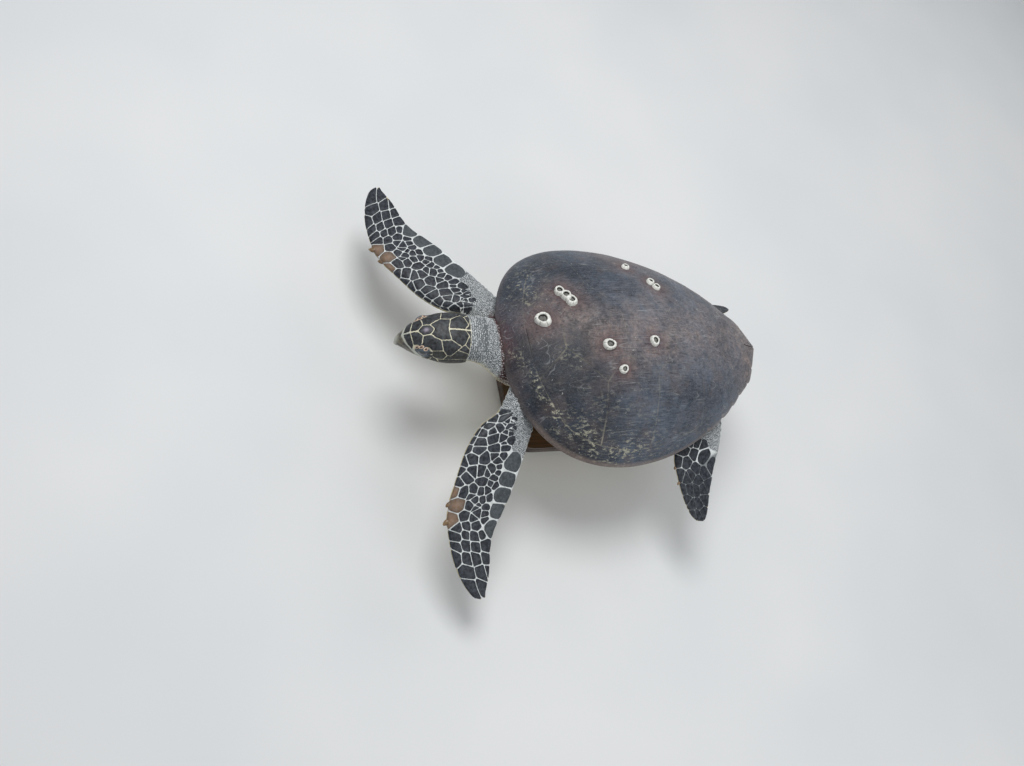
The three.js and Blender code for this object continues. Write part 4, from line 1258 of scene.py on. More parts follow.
chance = np.random.default_rng(23)
skin.data.calc_loop_triangles()
corners = held(skin.data.loop_triangles, "vertices", kind=int)
here, outward = unplaced(skin), normals_of(skin)
for name, mask in granule_regions(here[corners].mean(axis=1)).items():
    chosen = corners[mask]
    spots = here[chosen]
    area = np.linalg.norm(np.cross(spots[:, 1] - spots[:, 0], spots[:, 2] - spots[:, 0]), axis=1)
    chosen = np.repeat(chosen, chance.poisson(area * GRANULE_TRIES), axis=0)
    share = chance.dirichlet((1, 1, 1), len(chosen))[:, :, None]
    spots = np.sum(here[chosen] * share, axis=1)
    normals = np.sum(outward[chosen] * share, axis=1)
    normals /= np.linalg.norm(normals, axis=1, keepdims=True)
    local = in_head(spots)
    ringed = eased(local[:, 1], 42, 14) * (np.abs(local[:, 0]) < 75)
    squeezed = local * np.stack([1 - .5 * ringed, 1 + .8 * ringed, 1 - .5 * ringed], -1)
    kept = apart(squeezed, GRANULE_GAP)
    spots, normals, ringed, behind = spots[kept], normals[kept], ringed[kept], local[kept, 1]
    long = np.where(ringed[:, None] > 0.01, np.cross(normals, head_turn[:, 1]),
                    head_turn[:, 0] + 0.001)
    size = GRANULE_SIZE * chance.uniform(0.75, 1.15, len(kept)) * (1 + 0.2 * ringed)
    points, faces, each = granule_body(spots, normals, long, 1 + 1.3 * ringed, size)
    draw = chance.random(len(kept))
    dark, grey = NECK_SHARES if name == "neck" else OTHER_SHARES
    tones = over(GRANULE_WHITE, draw < grey, GRANULE_GREY)
    tones = over(tones, draw < dark * (1 - ringed), GRANULE_DARK)
    tones = tones * chance.uniform(.85, 1.08, (len(kept), 1))
    # Painted shade: the granules along each furrow behind the skull are painted dark, for the
    # shade in the creases between the rings.
    wander = noise_at(spots, 0.03)
    furrow = np.sin((behind + 3 * wander) * 2 * np.pi / FURROW_GAP) > 0.45
    tones = over(tones, 0.8 * ringed * furrow, 0)
    tones = over(tones, eased(normals[:, 2], 0.0, -0.6), GRANULE_CREAM)
    tones = over(tones, stain_share(spots) * (chance.random(len(kept)) < 0.6), STAIN_RED)
    made = new_piece(f"{name}_granules", placed(points), faces, turn_out=False)
    paint(made, "tone", np.repeat(tones, each, axis=0))
    centre = spots.mean(axis=0)
    round_it = np.arctan2(spots[:, 2] - centre[2], spots[:, 0] - centre[0]) / (2 * np.pi) + .5
    roots = np.stack([0.05 + 0.9 * round_it, 0.5 + (spots[:, 1] - centre[1]) * 0.002], -1)
    pad = [(0.0012 * math.cos(k), 0.0012 * math.sin(k)) for k in range(each)]
    unwrapped(made, np.repeat(roots, each, axis=0) + np.tile(pad, (len(kept), 1)))
    finished(made, horn_scale, "scales")

# ---------------------------------------------------------------- upper shell
# The shell's horn plates lie on bone, close against each other and worn almost smooth, each
# with its rear edge just over the next. Barnacles stand in a reddish film, and the plates of
# the front left shoulder are scuffed down to pale horn.

SIDES = (("left", 1), ("right", -1))

# Barnacles, as (group, share of the length across, s, radius, height).
BARNACLES = [
    ("front", -.055, .119, 19, 14), ("cluster", -.149, .192, 13, 12),
    ("cluster", -.127, .206, 14, 14), ("cluster", -.107, .217, 14, 12),
    ("middle", .06, .301, 15, 11), ("rear", .052, .466, 13, 10), ("left", .142, .337, 11, 8),
    ("right", -.261, .479, 11, 8), ("pair", -.188, .541, 11, 9), ("pair", -.166, .555, 11, 8),
]

marginal_inner = through((0, .865), (.12, .87), (.25, .905), (.5, .91), (.75, .89), (1, .87))
RIM_START, RIM_END = 0.04, 0.9985
FIRST_CORNER, LAST_CORNER = 0.083, 0.809
# Where the cross seams end on the left, as (s, across), and where three plates meet between
# them, as (s, across, the rim position at which the seam from there runs out).
SEAMS = [(.168, .054), (.37, .062), (.56, .06), (.755, .05)]
MEETINGS = [(.283, .178, .329), (.468, .155, .466), (.655, .132, .623)]
HORN_DEPTH, SEAM_HALF, SEAM_ROUND, SEAM_DROP = 6.5, 0.12, 2.2, 0.5
WAVER = 2.2  # how far the seams wander from straight
PLATE_STEP, EDGE_STEP = 6, 3.2


def rim_share(t):
    return (1 - np.cos(np.pi * np.asarray(t))) / 2


def rim_point(t, share):
    """A point of the shell's outline at rim position t, drawn in by a share of it. Negative
    positions run up the other side of the nuchal plate."""
    s = rim_share(np.abs(t))
    return np.stack([np.sign(t) * half_width(s) * share, along(s) * share], -1)


def rim_line(first, last):
    """The other plates' border, which runs a little way under the marginal plates."""
    t = np.linspace(first, last, max(3, int(abs(last - first) / 0.006)))
    return [tuple(q) for q in rim_point(t, 1.004 * marginal_inner(t))]


def distance_to(outline, points):
    """The distance from each point to an outline."""
    nearest = np.full(len(points), 1e9)
    for start, end in zip(outline, np.roll(outline, -1, 0)):
        edge = end - start
        k = np.clip(((points - start) @ edge) / max(edge @ edge, 1e-9), 0, 1)
        nearest = np.minimum(nearest, np.linalg.norm(points - start - k[:, None] * edge, axis=1))
    return nearest


def both_sides(half):
    return half + [(-x, y) for x, y in reversed(half) if x > 0.01]


left_inner = rim_line(0, RIM_END)
margin_outline = np.array(left_inner + [(-x, y) for x, y in reversed(left_inner)])


def plan_mesh(edge, spacing):
    """Points and triangles that fill an outline, closest together along its edge."""
    rings = [edge, outline_drawn_in(edge, 0.9), outline_drawn_in(edge, 2.6)]
    low, high = edge.min(0), edge.max(0)
    grid = np.array([(x + (spacing / 2) * (j % 2), y)
                     for j, y in enumerate(np.arange(low[1], high[1], spacing * 0.87))
                     for x in np.arange(low[0], high[0], spacing)])
    x, y = grid.T
    inside = np.zeros(len(grid), bool)
    for (x0, y0), (x1, y1) in zip(edge, np.roll(edge, -1, 0)):
        crosses = (y0 > y) != (y1 > y)
        inside ^= crosses & (x < (x1 - x0) * (y - y0) / (y1 - y0 + 1e-12) + x0)
    grid = grid[inside & (distance_to(edge, grid) > 4.5)]
    points = [Vector(q) for q in np.concatenate([*rings, grid])]
    made = delaunay_2d_cdt(points, [], [list(range(len(edge)))], 1, 1e-5)
    return np.array([tuple(v) for v in made[0]]), [tuple(f) for f in made[2]]


def plate_body(outline, top, depth, spacing=5.5, lift=(-0.3, 0.7)):
    """A closed horn plate on a plan outline, and how near each point is to its seams. Its top
    follows the shell, rounded down to the seams, and its underside lies a depth below."""
    # The seams of neighbours wander alike, and not at all by the marginal plates.
    free = eased(distance_to(margin_outline, np.array(outline)), 0, 20)
    outline = wandered(outline, WAVER * free, 0.018, (0, 500))
    if outline_area(outline) < 0:
        outline = outline[::-1]
    edge = np.array(stepped(outline_drawn_in(outline, SEAM_HALF), EDGE_STEP))
    flat, faces = plan_mesh(edge, spacing)
    inner = distance_to(edge, flat)
    x, y = flat.T
    share = (y - y.min()) / (y.max() - y.min())
    drop = SEAM_DROP * np.clip(1 - inner / SEAM_ROUND, 0, 1) ** 2
    height = top(x, y) - drop + lift[0] + (lift[1] - lift[0]) * share ** 2
    count = len(flat)
    upper, lower = (np.stack([x, y, z], -1) for z in (height, top(x, y) - depth))
    edges = {(a, b) for face in faces for a, b in zip(face, face[1:] + face[:1])}
    walls = [(b, a, a + count, b + count) for a, b in edges if (b, a) not in edges]
    under = [tuple(i + count for i in face)[::-1] for face in faces]
    return (np.concatenate([upper, lower]), faces + under + walls,
            np.tile(eased(inner, 2.4, 0.6), 2))


# Along the inner edge of the front left marginal plates the horn is scuffed most.
scuff_path = through((-375, .1), (-345, .3), (-317, .58), (-281, .80), (-201, .91), (-100, .94),
                     (375, .95))

# The pinkish film runs back from the front barnacles, and widens over the crown.
film_middle = through((-375, -75), (-300, -75), (-240, -62), (-168, 0), (-100, 18), (0, 8),
                      (375, 0))
film_spread = through((-375, 32), (-300, 36), (-240, 46), (-160, 62), (-60, 100), (375, 110))


def hill(*offsets):
    """1 where every (value, middle, spread) is at its middle, and less all round."""
    return np.exp(-sum(((value - middle) / spread) ** 2 for value, middle, spread in offsets))


def shell_marks(points):
    """What each point of the shell carries, by name: pinkish film, dark red stain, scuffed spots,
    and how much paler the horn is towards the rear and on the right side, which on the right is
    painted light."""
    x, y, _ = points.T
    left = x / half_width(share_at(y))
    film, stain = np.zeros(len(points)), np.zeros(len(points))
    for _, across, s, radius, _ in BARNACLES:
        gap = np.hypot(x - across * SHELL_LENGTH, y - along(s))
        film = np.maximum(film, hill((gap, 0, 2.2 * radius + 8)))
        stain = np.maximum(stain, 1.2 * hill((gap, 0, 1.75 * radius + 7)))
    film = (film + 0.7 * hill((x, film_middle(y), film_spread(y))) * eased(y, -310, -250)
            + 0.6 * hill((left, -.84, .17)) * eased(y, -160, 20) + 0.55 * hill((y, 350, 60)))
    stain = (stain + 0.7 * hill((left, -.9, .12)) * eased(y, -100, 40)
             + 1.3 * hill((x, -25, 62), (y, -368, 17)))
    scuff = hill((left, scuff_path(y), .13)) * (0.25 + 0.75 * eased(y, 20, -120))
    scuff = (scuff * eased(y, 200, 60) * eased(x, 0, 40) + hill((left, -.62, .22), (y, -296, 38))
             + 0.2 * hill((left, .6, .25)) * eased(y, -260, -210) * eased(y, 70, -60)
             + 0.5 * hill((x, 46, 40), (y, -250, 26)))
    # The horn is made paler towards the rear, and the right side is painted lighter as painted
    # light for the light that falls there.
    paler_rear_and_lit_right = eased(y, -210, -20) + 0.45 * eased(left, 0.1, -0.5)
    marks = {"film": film, "stain": stain, "scuff": scuff, "paler_rear_and_lit_right": paler_rear_and_lit_right}
    return {name: np.clip(values, 0, 1) for name, values in marks.items()}


horn = Finish("shell_horn", Roughness=0.42, Specular_IOR_Level=0.25)
times, uneven, patches = horn.times, horn.uneven, horn.patches
paler_rear_and_lit_right, scuff = horn.painted("paler_rear_and_lit_right"), horn.painted("scuff")
broad = patches(11, 5.0, contrast=(0.38, 0.62), roughness=0.6)
cloudy = patches(34, 6.0, roughness=0.7)
fine = patches(230, 6.0, contrast=(0.34, 0.64), roughness=0.75)
reddish = patches(21, 5.0, contrast=(0.5, 0.66))
mottle = patches(105, 6.0, contrast=(0.43, 0.6), roughness=0.75)
grains = patches(420, 3.0, contrast=(0.42, 0.62), roughness=0.6)
lines = patches(55, 6.0, (5, .55, 5), (0.5, 0.72), 0.65)
dark_lines = patches(47, 6.0, (6, .5, 6), (0.53, 0.7), 0.65)
specks = patches(150, 4.0, contrast=(0.69, 0.73))
film = horn.mixed(times(fine, 0.62), horn.mixed(cloudy, (62, 46, 46), (112, 95, 92)),
                  (184, 168, 158))
# This share grows where the horn is made paler: towards the rear, and on the right side as painted
# light.
worn = horn.worked_out("MULTIPLY_ADD", paler_rear_and_lit_right, 0.55, 0.45)

# Hair-fine scratches along the level curves of a cloudy pattern.
HAIR_GAP, HAIR_WIDTH = 0.06, 0.012
level = horn.worked_out("PINGPONG", patches(6, 1.0, (5, .35, 5), (0.0, 1.0)), HAIR_GAP)
hairs = times(horn.worked_out("SUBTRACT", level, HAIR_GAP - HAIR_WIDTH), 1 / HAIR_WIDTH,
              patches(26, 3.0, contrast=(0.5, 0.64)))

# Chips in clumps where the horn is scuffed, and larger blots among them.
chips = times(patches(84, 7.0, (1.7, .7, 1.7), (0.545, 0.585), 0.75),
              uneven(scuff, patches(24, 3.0, contrast=(0.42, 0.56)), 0.25))
blots = times(patches(31, 8.0, (1.2, .8, 1.2), (0.6, 0.625), 0.72),
              horn.worked_out("MULTIPLY_ADD", scuff, 0.8, 0.05))
chips = horn.worked_out("MAXIMUM", chips, blots)
seam = times(uneven(horn.painted("seam"), cloudy, 0.0),
             horn.worked_out("MULTIPLY_ADD", scuff, 0.7, 0.12))

# The base goes from darker to paler horn by that mark, so the paler right side is painted light.
horn.coloured(
    horn.mixed(paler_rear_and_lit_right, horn.mixed(broad, (12, 17, 26), (33, 41, 53)),
               horn.mixed(broad, (36, 46, 60), (82, 94, 110))),
    (times(worn, cloudy, 0.34), (92, 98, 108)),
    (times(reddish, 0.4), (92, 78, 74)),
    (uneven(horn.painted("film"), cloudy, 0.35), film),
    (times(uneven(horn.painted("stain"), fine, 0.4), 0.9), (74, 35, 35)),
    (times(mottle, 0.42), (34, 32, 38)),
    (times(worn, grains, 0.18), (146, 152, 160)),
    (times(worn, lines, 0.36), (130, 136, 146)),
    (times(dark_lines, 0.65), (20, 22, 28)),
    (times(hairs, 0.35), (166, 168, 168)),
    (times(chips, 0.85), horn.mixed(fine, (206, 202, 180), (148, 146, 128))),
    (seam, (168, 162, 142)),
    (times(specks, 0.6), (168, 168, 162)),
    (uneven(horn.painted("edge"), fine, 0.35), (158, 140, 128)))
horn.raised(lines, 0.0006, 0.5)
horn.raised(patches(180, 6.0, roughness=0.7), 0.0006, 0.6)
horn.raised(chips, 0.0005, 0.4)


def finished_plate(name, node_names, points, faces, seam=0.0, edge=0.0):
    made = new_piece(name, placed(points), faces)
    for mark, values in (shell_marks(points) | {"seam": seam, "edge": edge}).items():
        paint(made, mark, np.zeros(len(points)) + values)
    finished(made, horn, "shell_plates", *node_names, angle=60)


seam_ends = [(across * SHELL_LENGTH, float(along(s))) for s, across in SEAMS]
meetings = [(across * SHELL_LENGTH, float(along(s))) for s, across, _ in MEETINGS]
rim_corners = [FIRST_CORNER, *(t for _, _, t in MEETINGS), LAST_CORNER]
vertebrals = [rim_line(RIM_START, FIRST_CORNER) + seam_ends[:1],
              *([seam_ends[i], meetings[i], seam_ends[i + 1]] for i in range(3)),
              seam_ends[3:] + rim_line(LAST_CORNER, RIM_END)]
costals = [[meetings[0], seam_ends[0]],
           *([meetings[i], seam_ends[i], meetings[i - 1]] for i in (1, 2)),
           [seam_ends[3], meetings[2]]]
for i, half in enumerate(vertebrals):
    outline = stepped(both_sides(half), PLATE_STEP)
    finished_plate(f"vertebral_horn_{i + 1}", [f"vertebral_plate_{i + 1}"],
                   *plate_body(outline, shell_top, HORN_DEPTH))
for side, sign in SIDES:
    for i, inner in enumerate(costals):
        outline = inner + rim_line(rim_corners[i], rim_corners[i + 1])
        outline = stepped([(sign * x, y) for x, y in outline], PLATE_STEP)
        finished_plate(f"costal_horn_{i + 1}_{side}", [f"costal_plate_{i + 1}_{side}"],
                       *plate_body(outline, shell_top, HORN_DEPTH))

# The marginal plates wrap the shell's edge. Behind the thighs each one overhangs the notch that
# the next starts in, and the edge is worn to a thin pale line.
MARGINS = [.04, .12, .2, .275, .35, .425, .5, .575, .645, .7, .745, .782, .84, .895, RIM_END]
LOBED_FROM = 0.645
ACROSS_MARGIN = np.array((0.004, .02, .07, .2, .4, .6, .8, .92, .975))
OUTER_DROP = 1.6  # how far the edge is rounded off above and below
MARGIN_PALE = 0.6


def marginal_body(first, last):
    """One marginal plate and how close each of its points is to the edge."""
    points_t = np.linspace(first, last, 22)
    gap = np.linalg.norm(np.diff(rim_point(points_t, 1.0), axis=0), axis=1)
    length = np.concatenate(([0], np.cumsum(gap)))
    total = length[-1]
    ends = np.array((SEAM_HALF, 1.2, 3.0))
    stops = np.concatenate((ends, np.arange(7, total - 6, 5.0), total - ends[::-1]))
    rings, edges = [], []
    for stop, t in zip(stops, np.interp(stops, length, points_t)):
        inner = float(marginal_inner(abs(t)))
        k = stop / total
        outer = 1.0
        if abs(first) >= LOBED_FROM:
            outer += -0.026 * float(eased(k, 0.3, 0.0)) + 0.004 * math.sin(math.pi * k)
            outer -= 0.004 * float(eased(k, 0.9, 1.0))
        drop = SEAM_DROP * max(0.0, 1 - min(stop, total - stop) / SEAM_ROUND) ** 2
        shares = [*(inner + (outer - inner) * ACROSS_MARGIN), outer]
        upper, lower = [], []
        for j, share in enumerate(shares):
            x, y = rim_point(t, share)
            edge_drop = 0.5 * max(0.0, 1 - j / 2) ** 2 + OUTER_DROP * (share == outer)
            z = float(shell_top(x, y)) if share < .999 else float(rim(share_at(y)))
            upper.append((x, y, z - drop - edge_drop + 0.7 * k * k - 0.3))
            if j:
                z = float(shell_under(x, y)) + OUTER_DROP * (share == outer)
                lower.append((x, y, z + drop))
        x, y = rim_point(t, outer + 0.0035)
        middle = (x, y, float(rim(share_at(y))) - RIM_EDGE / 2)
        rings.append([*upper, middle, *lower[::-1]])
        edges.append(eased([*shares, 1.0, *shares[:0:-1]], outer - 0.016, outer - 0.004))
    return lofted(rings), np.concatenate(edges)


def margin_piece(name, spans, *node_names):
    bodies, edges = [], []
    for first, last in spans:
        body, edge = marginal_body(first, last)
        y = body[0][:, 1]
        worn = np.maximum(eased(y, 185, 225), eased(y, -352, -310) * (first > 0))
        bodies.append(body)
        edges.append(edge * MARGIN_PALE * (0.3 + 0.7 * worn))
    finished_plate(name, node_names, *joined(bodies), edge=np.concatenate(edges))


margin_piece("nuchal_horn", [(-RIM_START, RIM_START)], "nuchal_plate")
for side, sign in SIDES:
    spans = [(sign * first, sign * last) for first, last in zip(MARGINS, MARGINS[1:])]
    margin_piece(f"marginal_horn_{side}", spans,
                 *(f"marginal_plates_{part}_{side}" for part in ("front", "bridge", "rear")))

# ---------------------------------------------------------------- lower shell
# The lower shell is paler and thinner horn: six pairs of plates under the chest and belly, and
# two bridges of four plates that tie it to the upper shell.

belly_horn = Finish("belly_horn", Roughness=0.45)
lines = belly_horn.patches(60, 5.0, (4, .6, 4), (0.5, 0.7))
belly_horn.coloured(
    belly_horn.mixed(belly_horn.patches(9, 4.0), (214, 196, 140), (196, 172, 112)),
    (belly_horn.times(lines, 0.4), (160, 134, 88)), (belly_horn.painted("edge"), (150, 118, 78)))
belly_horn.raised(lines, 0.0004, 0.5)

plastron_side = through((.1, .004), (.115, .1), (.17, .16), (.27, .185), (.64, .19), (.74, .15),
                        (.81, .09), (.845, .004))
BELLY_CUTS = [.1, .165, .265, .39, .52, .68, .845]
BRIDGE_CUTS = [(.27, .335), (.365, .40), (.455, .465), (.55, .53), (.64, .6)]  # s and rim position
BELLY_DEPTH, BELLY_SPACING = 6.0, 8.0


def plastron_line(start, end, count, sign):
    """Points along the side of the belly's plates."""
    return [(sign * float(plastron_side(s)) * SHELL_LENGTH, float(along(s)))
            for s in np.linspace(start, end, count)]


def belly_piece(name, outlines, node_name):
    """Plates of the lower shell, each worked upside down and turned over."""
    bodies, edges = [], []
    for outline in outlines:
        points, faces, _ = plate_body(stepped(outline, 8), lambda x, y: -shell_under(x, y),
                                      BELLY_DEPTH, BELLY_SPACING, (0.0, 0.0))
        bodies.append((points * (1, 1, -1), faces))
        edges.append(0.7 * eased(distance_to(np.array(outline), points[:, :2]), 5, 1))
    points, faces = joined(bodies)
    made = new_piece(name, placed(points), faces)
    paint(made, "edge", np.concatenate(edges))
    finished(made, belly_horn, "belly_plates", node_name, angle=60)


outlines = []
for _, sign in SIDES:
    for start, end in zip(BELLY_CUTS, BELLY_CUTS[1:]):
        line = plastron_line(start, end, 8, sign)
        outlines.append([(0, line[0][1]), *line, (0, line[-1][1])])
belly_piece("plastron_horn", outlines, "plastron")
for side, sign in SIDES:
    outlines = []
    for (s0, t0), (s1, t1) in zip(BRIDGE_CUTS, BRIDGE_CUTS[1:]):
        outer = [(sign * x, y) for x, y in rim_line(t0, t1)]
        outlines.append(plastron_line(s0, s1, 5, sign) + outer[::-1])
    belly_piece(f"bridge_horn_{side}", outlines, f"bridge_{side}")

# ---------------------------------------------------------------- beak
# The beak is two sheaths of horn over the jaws, streaked brown and worn pale at the hooked tip.
# The upper one overhangs the lower.

beak_horn = Finish("beak_horn", Roughness=0.32, Specular_IOR_Level=0.5)
streaks = beak_horn.patches(90, 4.0, (1, .25, 1), (0.4, 0.62))
beak_horn.coloured(beak_horn.mixed(streaks, (44, 43, 40), (110, 102, 84)),
                   (beak_horn.painted("pale"), (192, 194, 182)))
beak_horn.raised(streaks, 0.0003, 0.5)

MOUTH_FRONT = [(.966, -60), (.955, -34), (.9, -24), (.75, -16)]
BEAKS = {  # their outlines from the side, as (p, height)
    "upper": [(1.1, -60), *MOUTH_FRONT, (.64, -14.7), (.69, -4), (.76, 4), (.8, 10), (.86, 30),
              (1.1, 30)],
    "lower": [*MOUTH_FRONT, (.68, -15.5), (.7, -60)],
}
BEAK_GAP = 0.4
BEAK_GRAIN = 0.7
HOOK_DROP, HOOK_REACH = 5.0, 5.0
shield_border = through((0, .936), (54, .892), (84, .806), (100, .74))
for key, outline in BEAKS.items():
    sheath = new_piece(f"beak_{key}_horn", *lofted(head_rings(.55, 1, 0)))
    outline = [(p * HEAD_LENGTH, z) for p, z in outline]
    outline = outline_drawn_in(outline if outline_area(outline) > 0 else outline[::-1], BEAK_GAP)
    across = [[(x, -length, z) for length, z in outline] for x in (-90, 90)]
    cutter = new_piece("beak_cutter", *lofted(across))
    with_modifier(sheath, "BOOLEAN", operation="INTERSECT", object=cutter, solver="MANIFOLD")
    bpy.data.objects.remove(cutter)
    with_modifier(sheath, "REMESH", mode="VOXEL", voxel_size=BEAK_GRAIN)
    with_modifier(sheath, "SMOOTH", factor=0.5, iterations=5)
    shape = points_of(sheath)
    z = shape[:, 2]
    p = -shape[:, 1] / HEAD_LENGTH
    bordering = eased(p - shield_border(np.minimum(from_crown(shape), 100)), 0.028, 0.012)
    hooked = eased(p, 0.955, 0.985) * eased(z, -12, -31)
    forward = eased(p, 0.90, 1.0) * eased(z, 6, -16)
    moves = hooked[:, None] * (0, 0, HOOK_DROP) + forward[:, None] * (0, HOOK_REACH, 0)
    upper = key == "upper"
    paint(sheath, "pale", np.maximum(0.9 * bordering * upper, 0.7 * eased(p, 0.965, 1.0)))
    move_points(sheath, placed(from_head(shape - moves * upper)))
    finished(sheath, beak_horn, "beak", f"beak_{key}")

# ---------------------------------------------------------------- eyes
# Each eye is a wet ball, dark blue round a wide black pupil, and turned a little forwards. It
# sits in the skull, and the thick lids hold it.

wet_eye = Finish("wet_eye", Roughness=0.06, Coat_Weight=1.0, Coat_Roughness=0.03)
wet_eye.coloured(wet_eye.mixed(wet_eye.patches(700, 3.0), (52, 64, 82), (30, 38, 50)),
                 (wet_eye.painted("pupil"), (6, 7, 9)))
for side, sign in SIDES:
    bpy.ops.object.select_all(action="DESELECT")
    bpy.ops.mesh.primitive_uv_sphere_add(segments=64, ring_count=48, radius=EYE_RADIUS)
    ball = bpy.context.object
    ball.name = f"eyeball_{side}"
    round_points = points_of(ball)
    gaze = np.array((sign * 0.88, -0.42, 0.22))
    facing = round_points @ (gaze / np.linalg.norm(gaze)) / EYE_RADIUS
    paint(ball, "pupil", eased(facing, 0.93, 0.945))
    move_points(ball, placed(from_head(round_points + eye_centre(sign))))
    finished(ball, wet_eye, "eye", f"eye_{side}")

# ---------------------------------------------------------------- claws
# Two short blunt claws grow from the leading edge of each flipper at its bend. They are solid
# horn, curved towards the limb's tip and rooted in the skin.

claw_horn = Finish("claw_horn", Roughness=0.35)
claw_horn.coloured(claw_horn.mixed(claw_horn.patches(150, 3.0, (.4, 1, 1)), (88, 68, 48),
                                   (140, 116, 86)))
CLAWS = {"fore": [(236, 14, 7), (276, 16, 8)],  # place along the limb, length and radius
         "hind": [(128, 12, 5), (166, 13, 5)]}
CLAW_ROOT = 7
CLAW_BEND = math.radians(38)


def claw_rings(limb, at, length, radius):
    """Rings along a claw in its limb's axes."""
    start = np.array((at, CLAW_ROOT - limb["lead"](at), limb["lift"](at)))
    turn = circle(16)[:, None]
    rings = []
    for share in np.linspace(0, 1, 18):
        angle = CLAW_BEND * share
        along_limb = np.array((math.cos(angle), math.sin(angle), 0))
        outward = np.array((math.sin(angle), -math.cos(angle), -0.1))
        size = radius * max(0.02, 1 - 0.5 * share ** 1.6) * math.sqrt(max(0, 1 - share ** 5))
        rings.append(start + outward * length * share + along_limb * size * np.cos(turn)
                     + np.array((0, 0, 0.7)) * size * np.sin(turn))
    return np.array(rings)


for key, place in LIMBS.items():
    kind, side = key.split("_")
    for i, (at, length, radius) in enumerate(CLAWS[kind]):
        points, faces = lofted(from_limb(claw_rings(place[0], at, length, radius), place))
        claw = new_piece(f"claw_horn_{kind}_{i + 1}_{side}", placed(points), faces)
        finished(claw, claw_horn, "claw", f"claw_{kind}_{i + 1}_{side}")

# ---------------------------------------------------------------- barnacles
# A barnacle is a low cone of six limy plates, cemented to the horn. Two smaller plates close the
# opening at its top, and the opening and the grooves between the plates are painted dark as
# painted shade.

lime = Finish("barnacle_lime", Roughness=0.75)
# Painted shade: the furrow mark darkens the grooves between the plates and the inside of the
# opening.
lime.coloured(lime.mixed(lime.patches(180, 4.0), (236, 237, 232), (212, 211, 202)),
              (lime.painted("furrow"), (34, 34, 30)))
lime.raised(lime.patches(300, 5.0), 0.0006, 0.6)

# Rings from the foot over the lip and down inside, as (share of the radius, share of the height,
# how much of the plates' relief they carry).
BARNACLE_PROFILE = [(0.72, -0.42, 0), (1.0, -0.18, .5), (0.98, 0.1, .5), (0.94, 0.34, 1),
                    (0.88, 0.6, 1), (0.78, 0.82, 1), (0.68, 0.92, .8), (0.6, 0.9, .5),
                    (0.54, 0.8, .2), (0.5, 0.6, 0), (0.46, 0.4, 0), (0.38, 0.36, 0),
                    (0.26, 0.42, 0), (0.1, 0.48, 0)]


def barnacle_body(across, s, radius, height, turn):
    """One barnacle, and how much painted shade each of its points carries."""
    angle = circle(72)
    furrow = np.clip(1 - np.abs(np.cos(3 * (angle + turn))) / 0.22, 0, 1)
    ribs = 0.5 + 0.5 * np.cos(24 * (angle + turn))
    swell = 1 + 0.07 * np.sin(2 * angle + 9 * turn) + 0.04 * np.sin(3 * angle + 4 * turn)
    rings, marks = [], []
    for share, up, relief in BARNACLE_PROFILE:
        wide = radius * share * swell * (1 - relief * (0.07 * furrow - 0.03 * ribs))
        lean = 0.06 * radius * max(up, 0) * math.sin(5 * turn)
        z = height * up - relief * 0.08 * height * furrow
        if share < 0.4:
            z = z - 0.14 * height * np.clip(1 - np.abs(np.sin(angle + turn)) / 0.35, 0, 1)
        rings.append(np.stack([wide * np.cos(angle) + lean, 1.08 * wide * np.sin(angle),
                               z + 0 * wide], -1))
        # The grooves between the plates and, most, the opening's inner wall and the small plates
        # below it are painted dark: painted shade.
        inside = 1.0 if 0.4 < share < 0.52 else 0.8 * (share < 0.4)
        marks.append(np.clip(0.45 * furrow * relief + inside, 0, 1))
    x, y = across * SHELL_LENGTH, float(along(s))
    tilt = Vector((-(shell_top(x + 4, y) - shell_top(x - 4, y)) / 8,
                   -(shell_top(x, y + 4) - shell_top(x, y - 4)) / 8, 1.0))
    turned = np.array(tilt.to_track_quat("Z", "Y").to_matrix())
    body = np.array(rings) @ turned.T + (x, y, float(shell_top(x, y)))
    return lofted(body), np.concatenate(marks)


for name in dict.fromkeys(barnacle[0] for barnacle in BARNACLES):
    made = [barnacle_body(*sizes, 0.7 * i)
            for i, (group, *sizes) in enumerate(BARNACLES) if group == name]
    points, faces = joined([body for body, _ in made])
    shell = new_piece(f"barnacle_shells_{name}", placed(points), faces)
    paint(shell, "furrow", np.concatenate([marks for _, marks in made]))
    finished(shell, lime, "barnacle", f"barnacle_{name}", angle=55)

# ---------------------------------------------------------------- stand
# The model is held by a plain varnished board and two steel rods. Each rod screws into a round
# foot, and a round pad under the lower shell spreads the load.

wood = Finish("dark_varnished_wood", Roughness=0.3, Coat_Weight=0.5, Coat_Roughness=0.15)
pores = wood.patches(160, 3.0, (3, .12, 1), (0.6, 0.7))
year_rings = wood.patches(14, 5.0, (7, .45, 1), (0.4, 0.6), 0.6)
wood.coloured(wood.mixed(year_rings, (48, 31, 22), (82, 54, 36)),
              (wood.times(pores, 0.7), (26, 17, 12)))
wood.raised(pores, -0.0002, 0.4)

BOARD_WIDTH, BOARD_LENGTH, BOARD_HEIGHT = 0.300, 0.480, 0.024
BOARD_CORNER, BOARD_EDGE = 0.060, 0.004


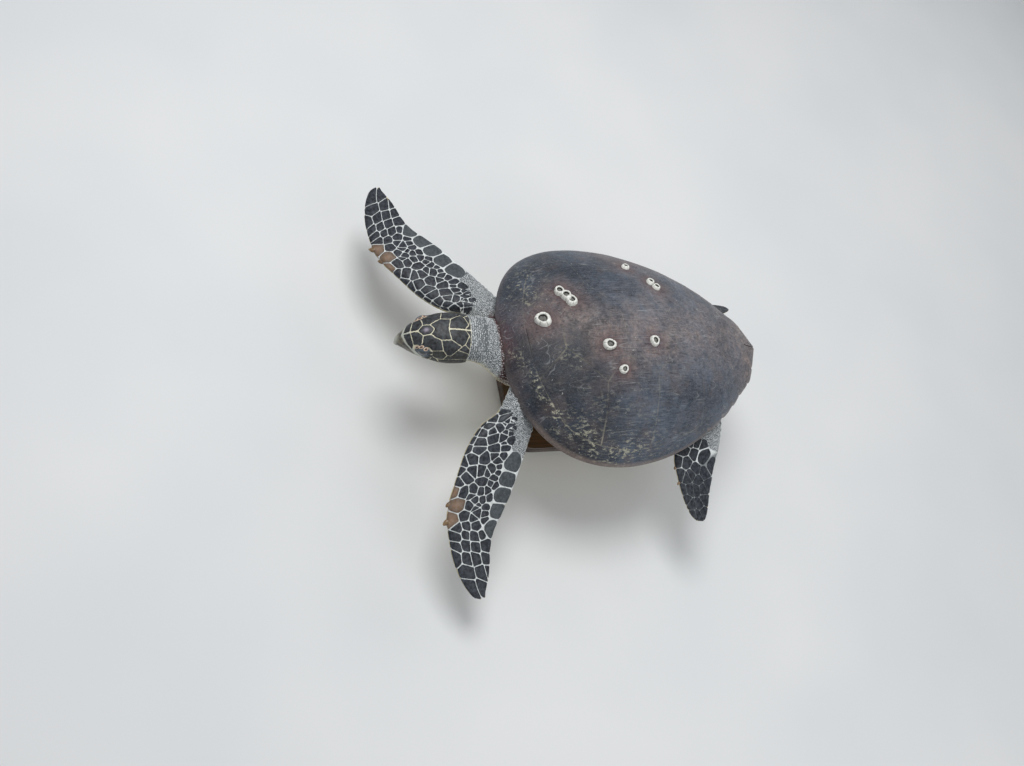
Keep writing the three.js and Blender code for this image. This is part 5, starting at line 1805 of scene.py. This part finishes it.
def bevelled(piece, chosen, offset, segments):
    """Rounds those edges that chosen picks by the heights of their two ends."""
    select_only(piece)
    bpy.ops.object.mode_set(mode="EDIT")
    bpy.ops.mesh.select_mode(type="EDGE")
    bpy.ops.mesh.select_all(action="DESELECT")
    bpy.ops.object.mode_set(mode="OBJECT")
    for edge in piece.data.edges:
        edge.select = chosen(*(piece.data.vertices[i].co.z for i in edge.vertices))
    bpy.ops.object.mode_set(mode="EDIT")
    bpy.ops.mesh.bevel(offset=offset, segments=segments, affect="EDGES")
    bpy.ops.mesh.select_mode(type="VERT")
    bpy.ops.object.mode_set(mode="OBJECT")


bpy.ops.object.select_all(action="DESELECT")
bpy.ops.mesh.primitive_cube_add(size=1)
board = bpy.context.object
board.name = "stand_board"
move_points(board, points_of(board) * (BOARD_WIDTH, BOARD_LENGTH, BOARD_HEIGHT)
            + (0, 0, BOARD_HEIGHT / 2))
bevelled(board, lambda one, other: abs(one - other) > 0.01, BOARD_CORNER, 16)
bevelled(board, lambda one, other: min(one, other) > BOARD_HEIGHT - 1e-5, BOARD_EDGE, 5)
finished(board, wood, "stand_board", "stand_base", angle=40)

steel = Finish("brushed_steel", Roughness=0.28, Metallic=1.0)
steel.coloured(steel.mixed(steel.patches(400, 3.0, (1, 1, .08)), (168, 170, 172), (186, 187, 188)))
RODS = {"front": -110, "rear": 130}
PAD_GAP = 0.3
turn = circle(64)
for key, y in RODS.items():
    seat = RIM_HEIGHT + float(shell_under(0, y)) - PAD_GAP
    profile = [(0.01, 25), (23, 25), (24, 26), (24, 30), (22.5, 31.3), (9, 34), (8, 35.5),
               (8, seat - 30), (9, seat - 28), (28.5, seat - 21), (30, seat - 19), (30, seat - 1)]
    rings = np.array([np.stack([r * np.cos(turn), y + r * np.sin(turn), z + 0 * turn], -1)
                      for r, z in profile])
    rings[-1, :, 2] = RIM_HEIGHT + shell_under(rings[-1, :, 0], rings[-1, :, 1]) - PAD_GAP
    points, faces = lofted(rings)
    rod = new_piece(f"stand_rod_{key}_steel", points * 0.001, faces)
    finished(rod, steel, "stand_steel", f"stand_rod_{key}", angle=40)

# ---------------------------------------------------------------- sizes
# The boxes of the CAD model and of the finished one.

low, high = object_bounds()
{"cad": [list(cad_low), list(cad_high)], "visual": [list(low), list(high)]}
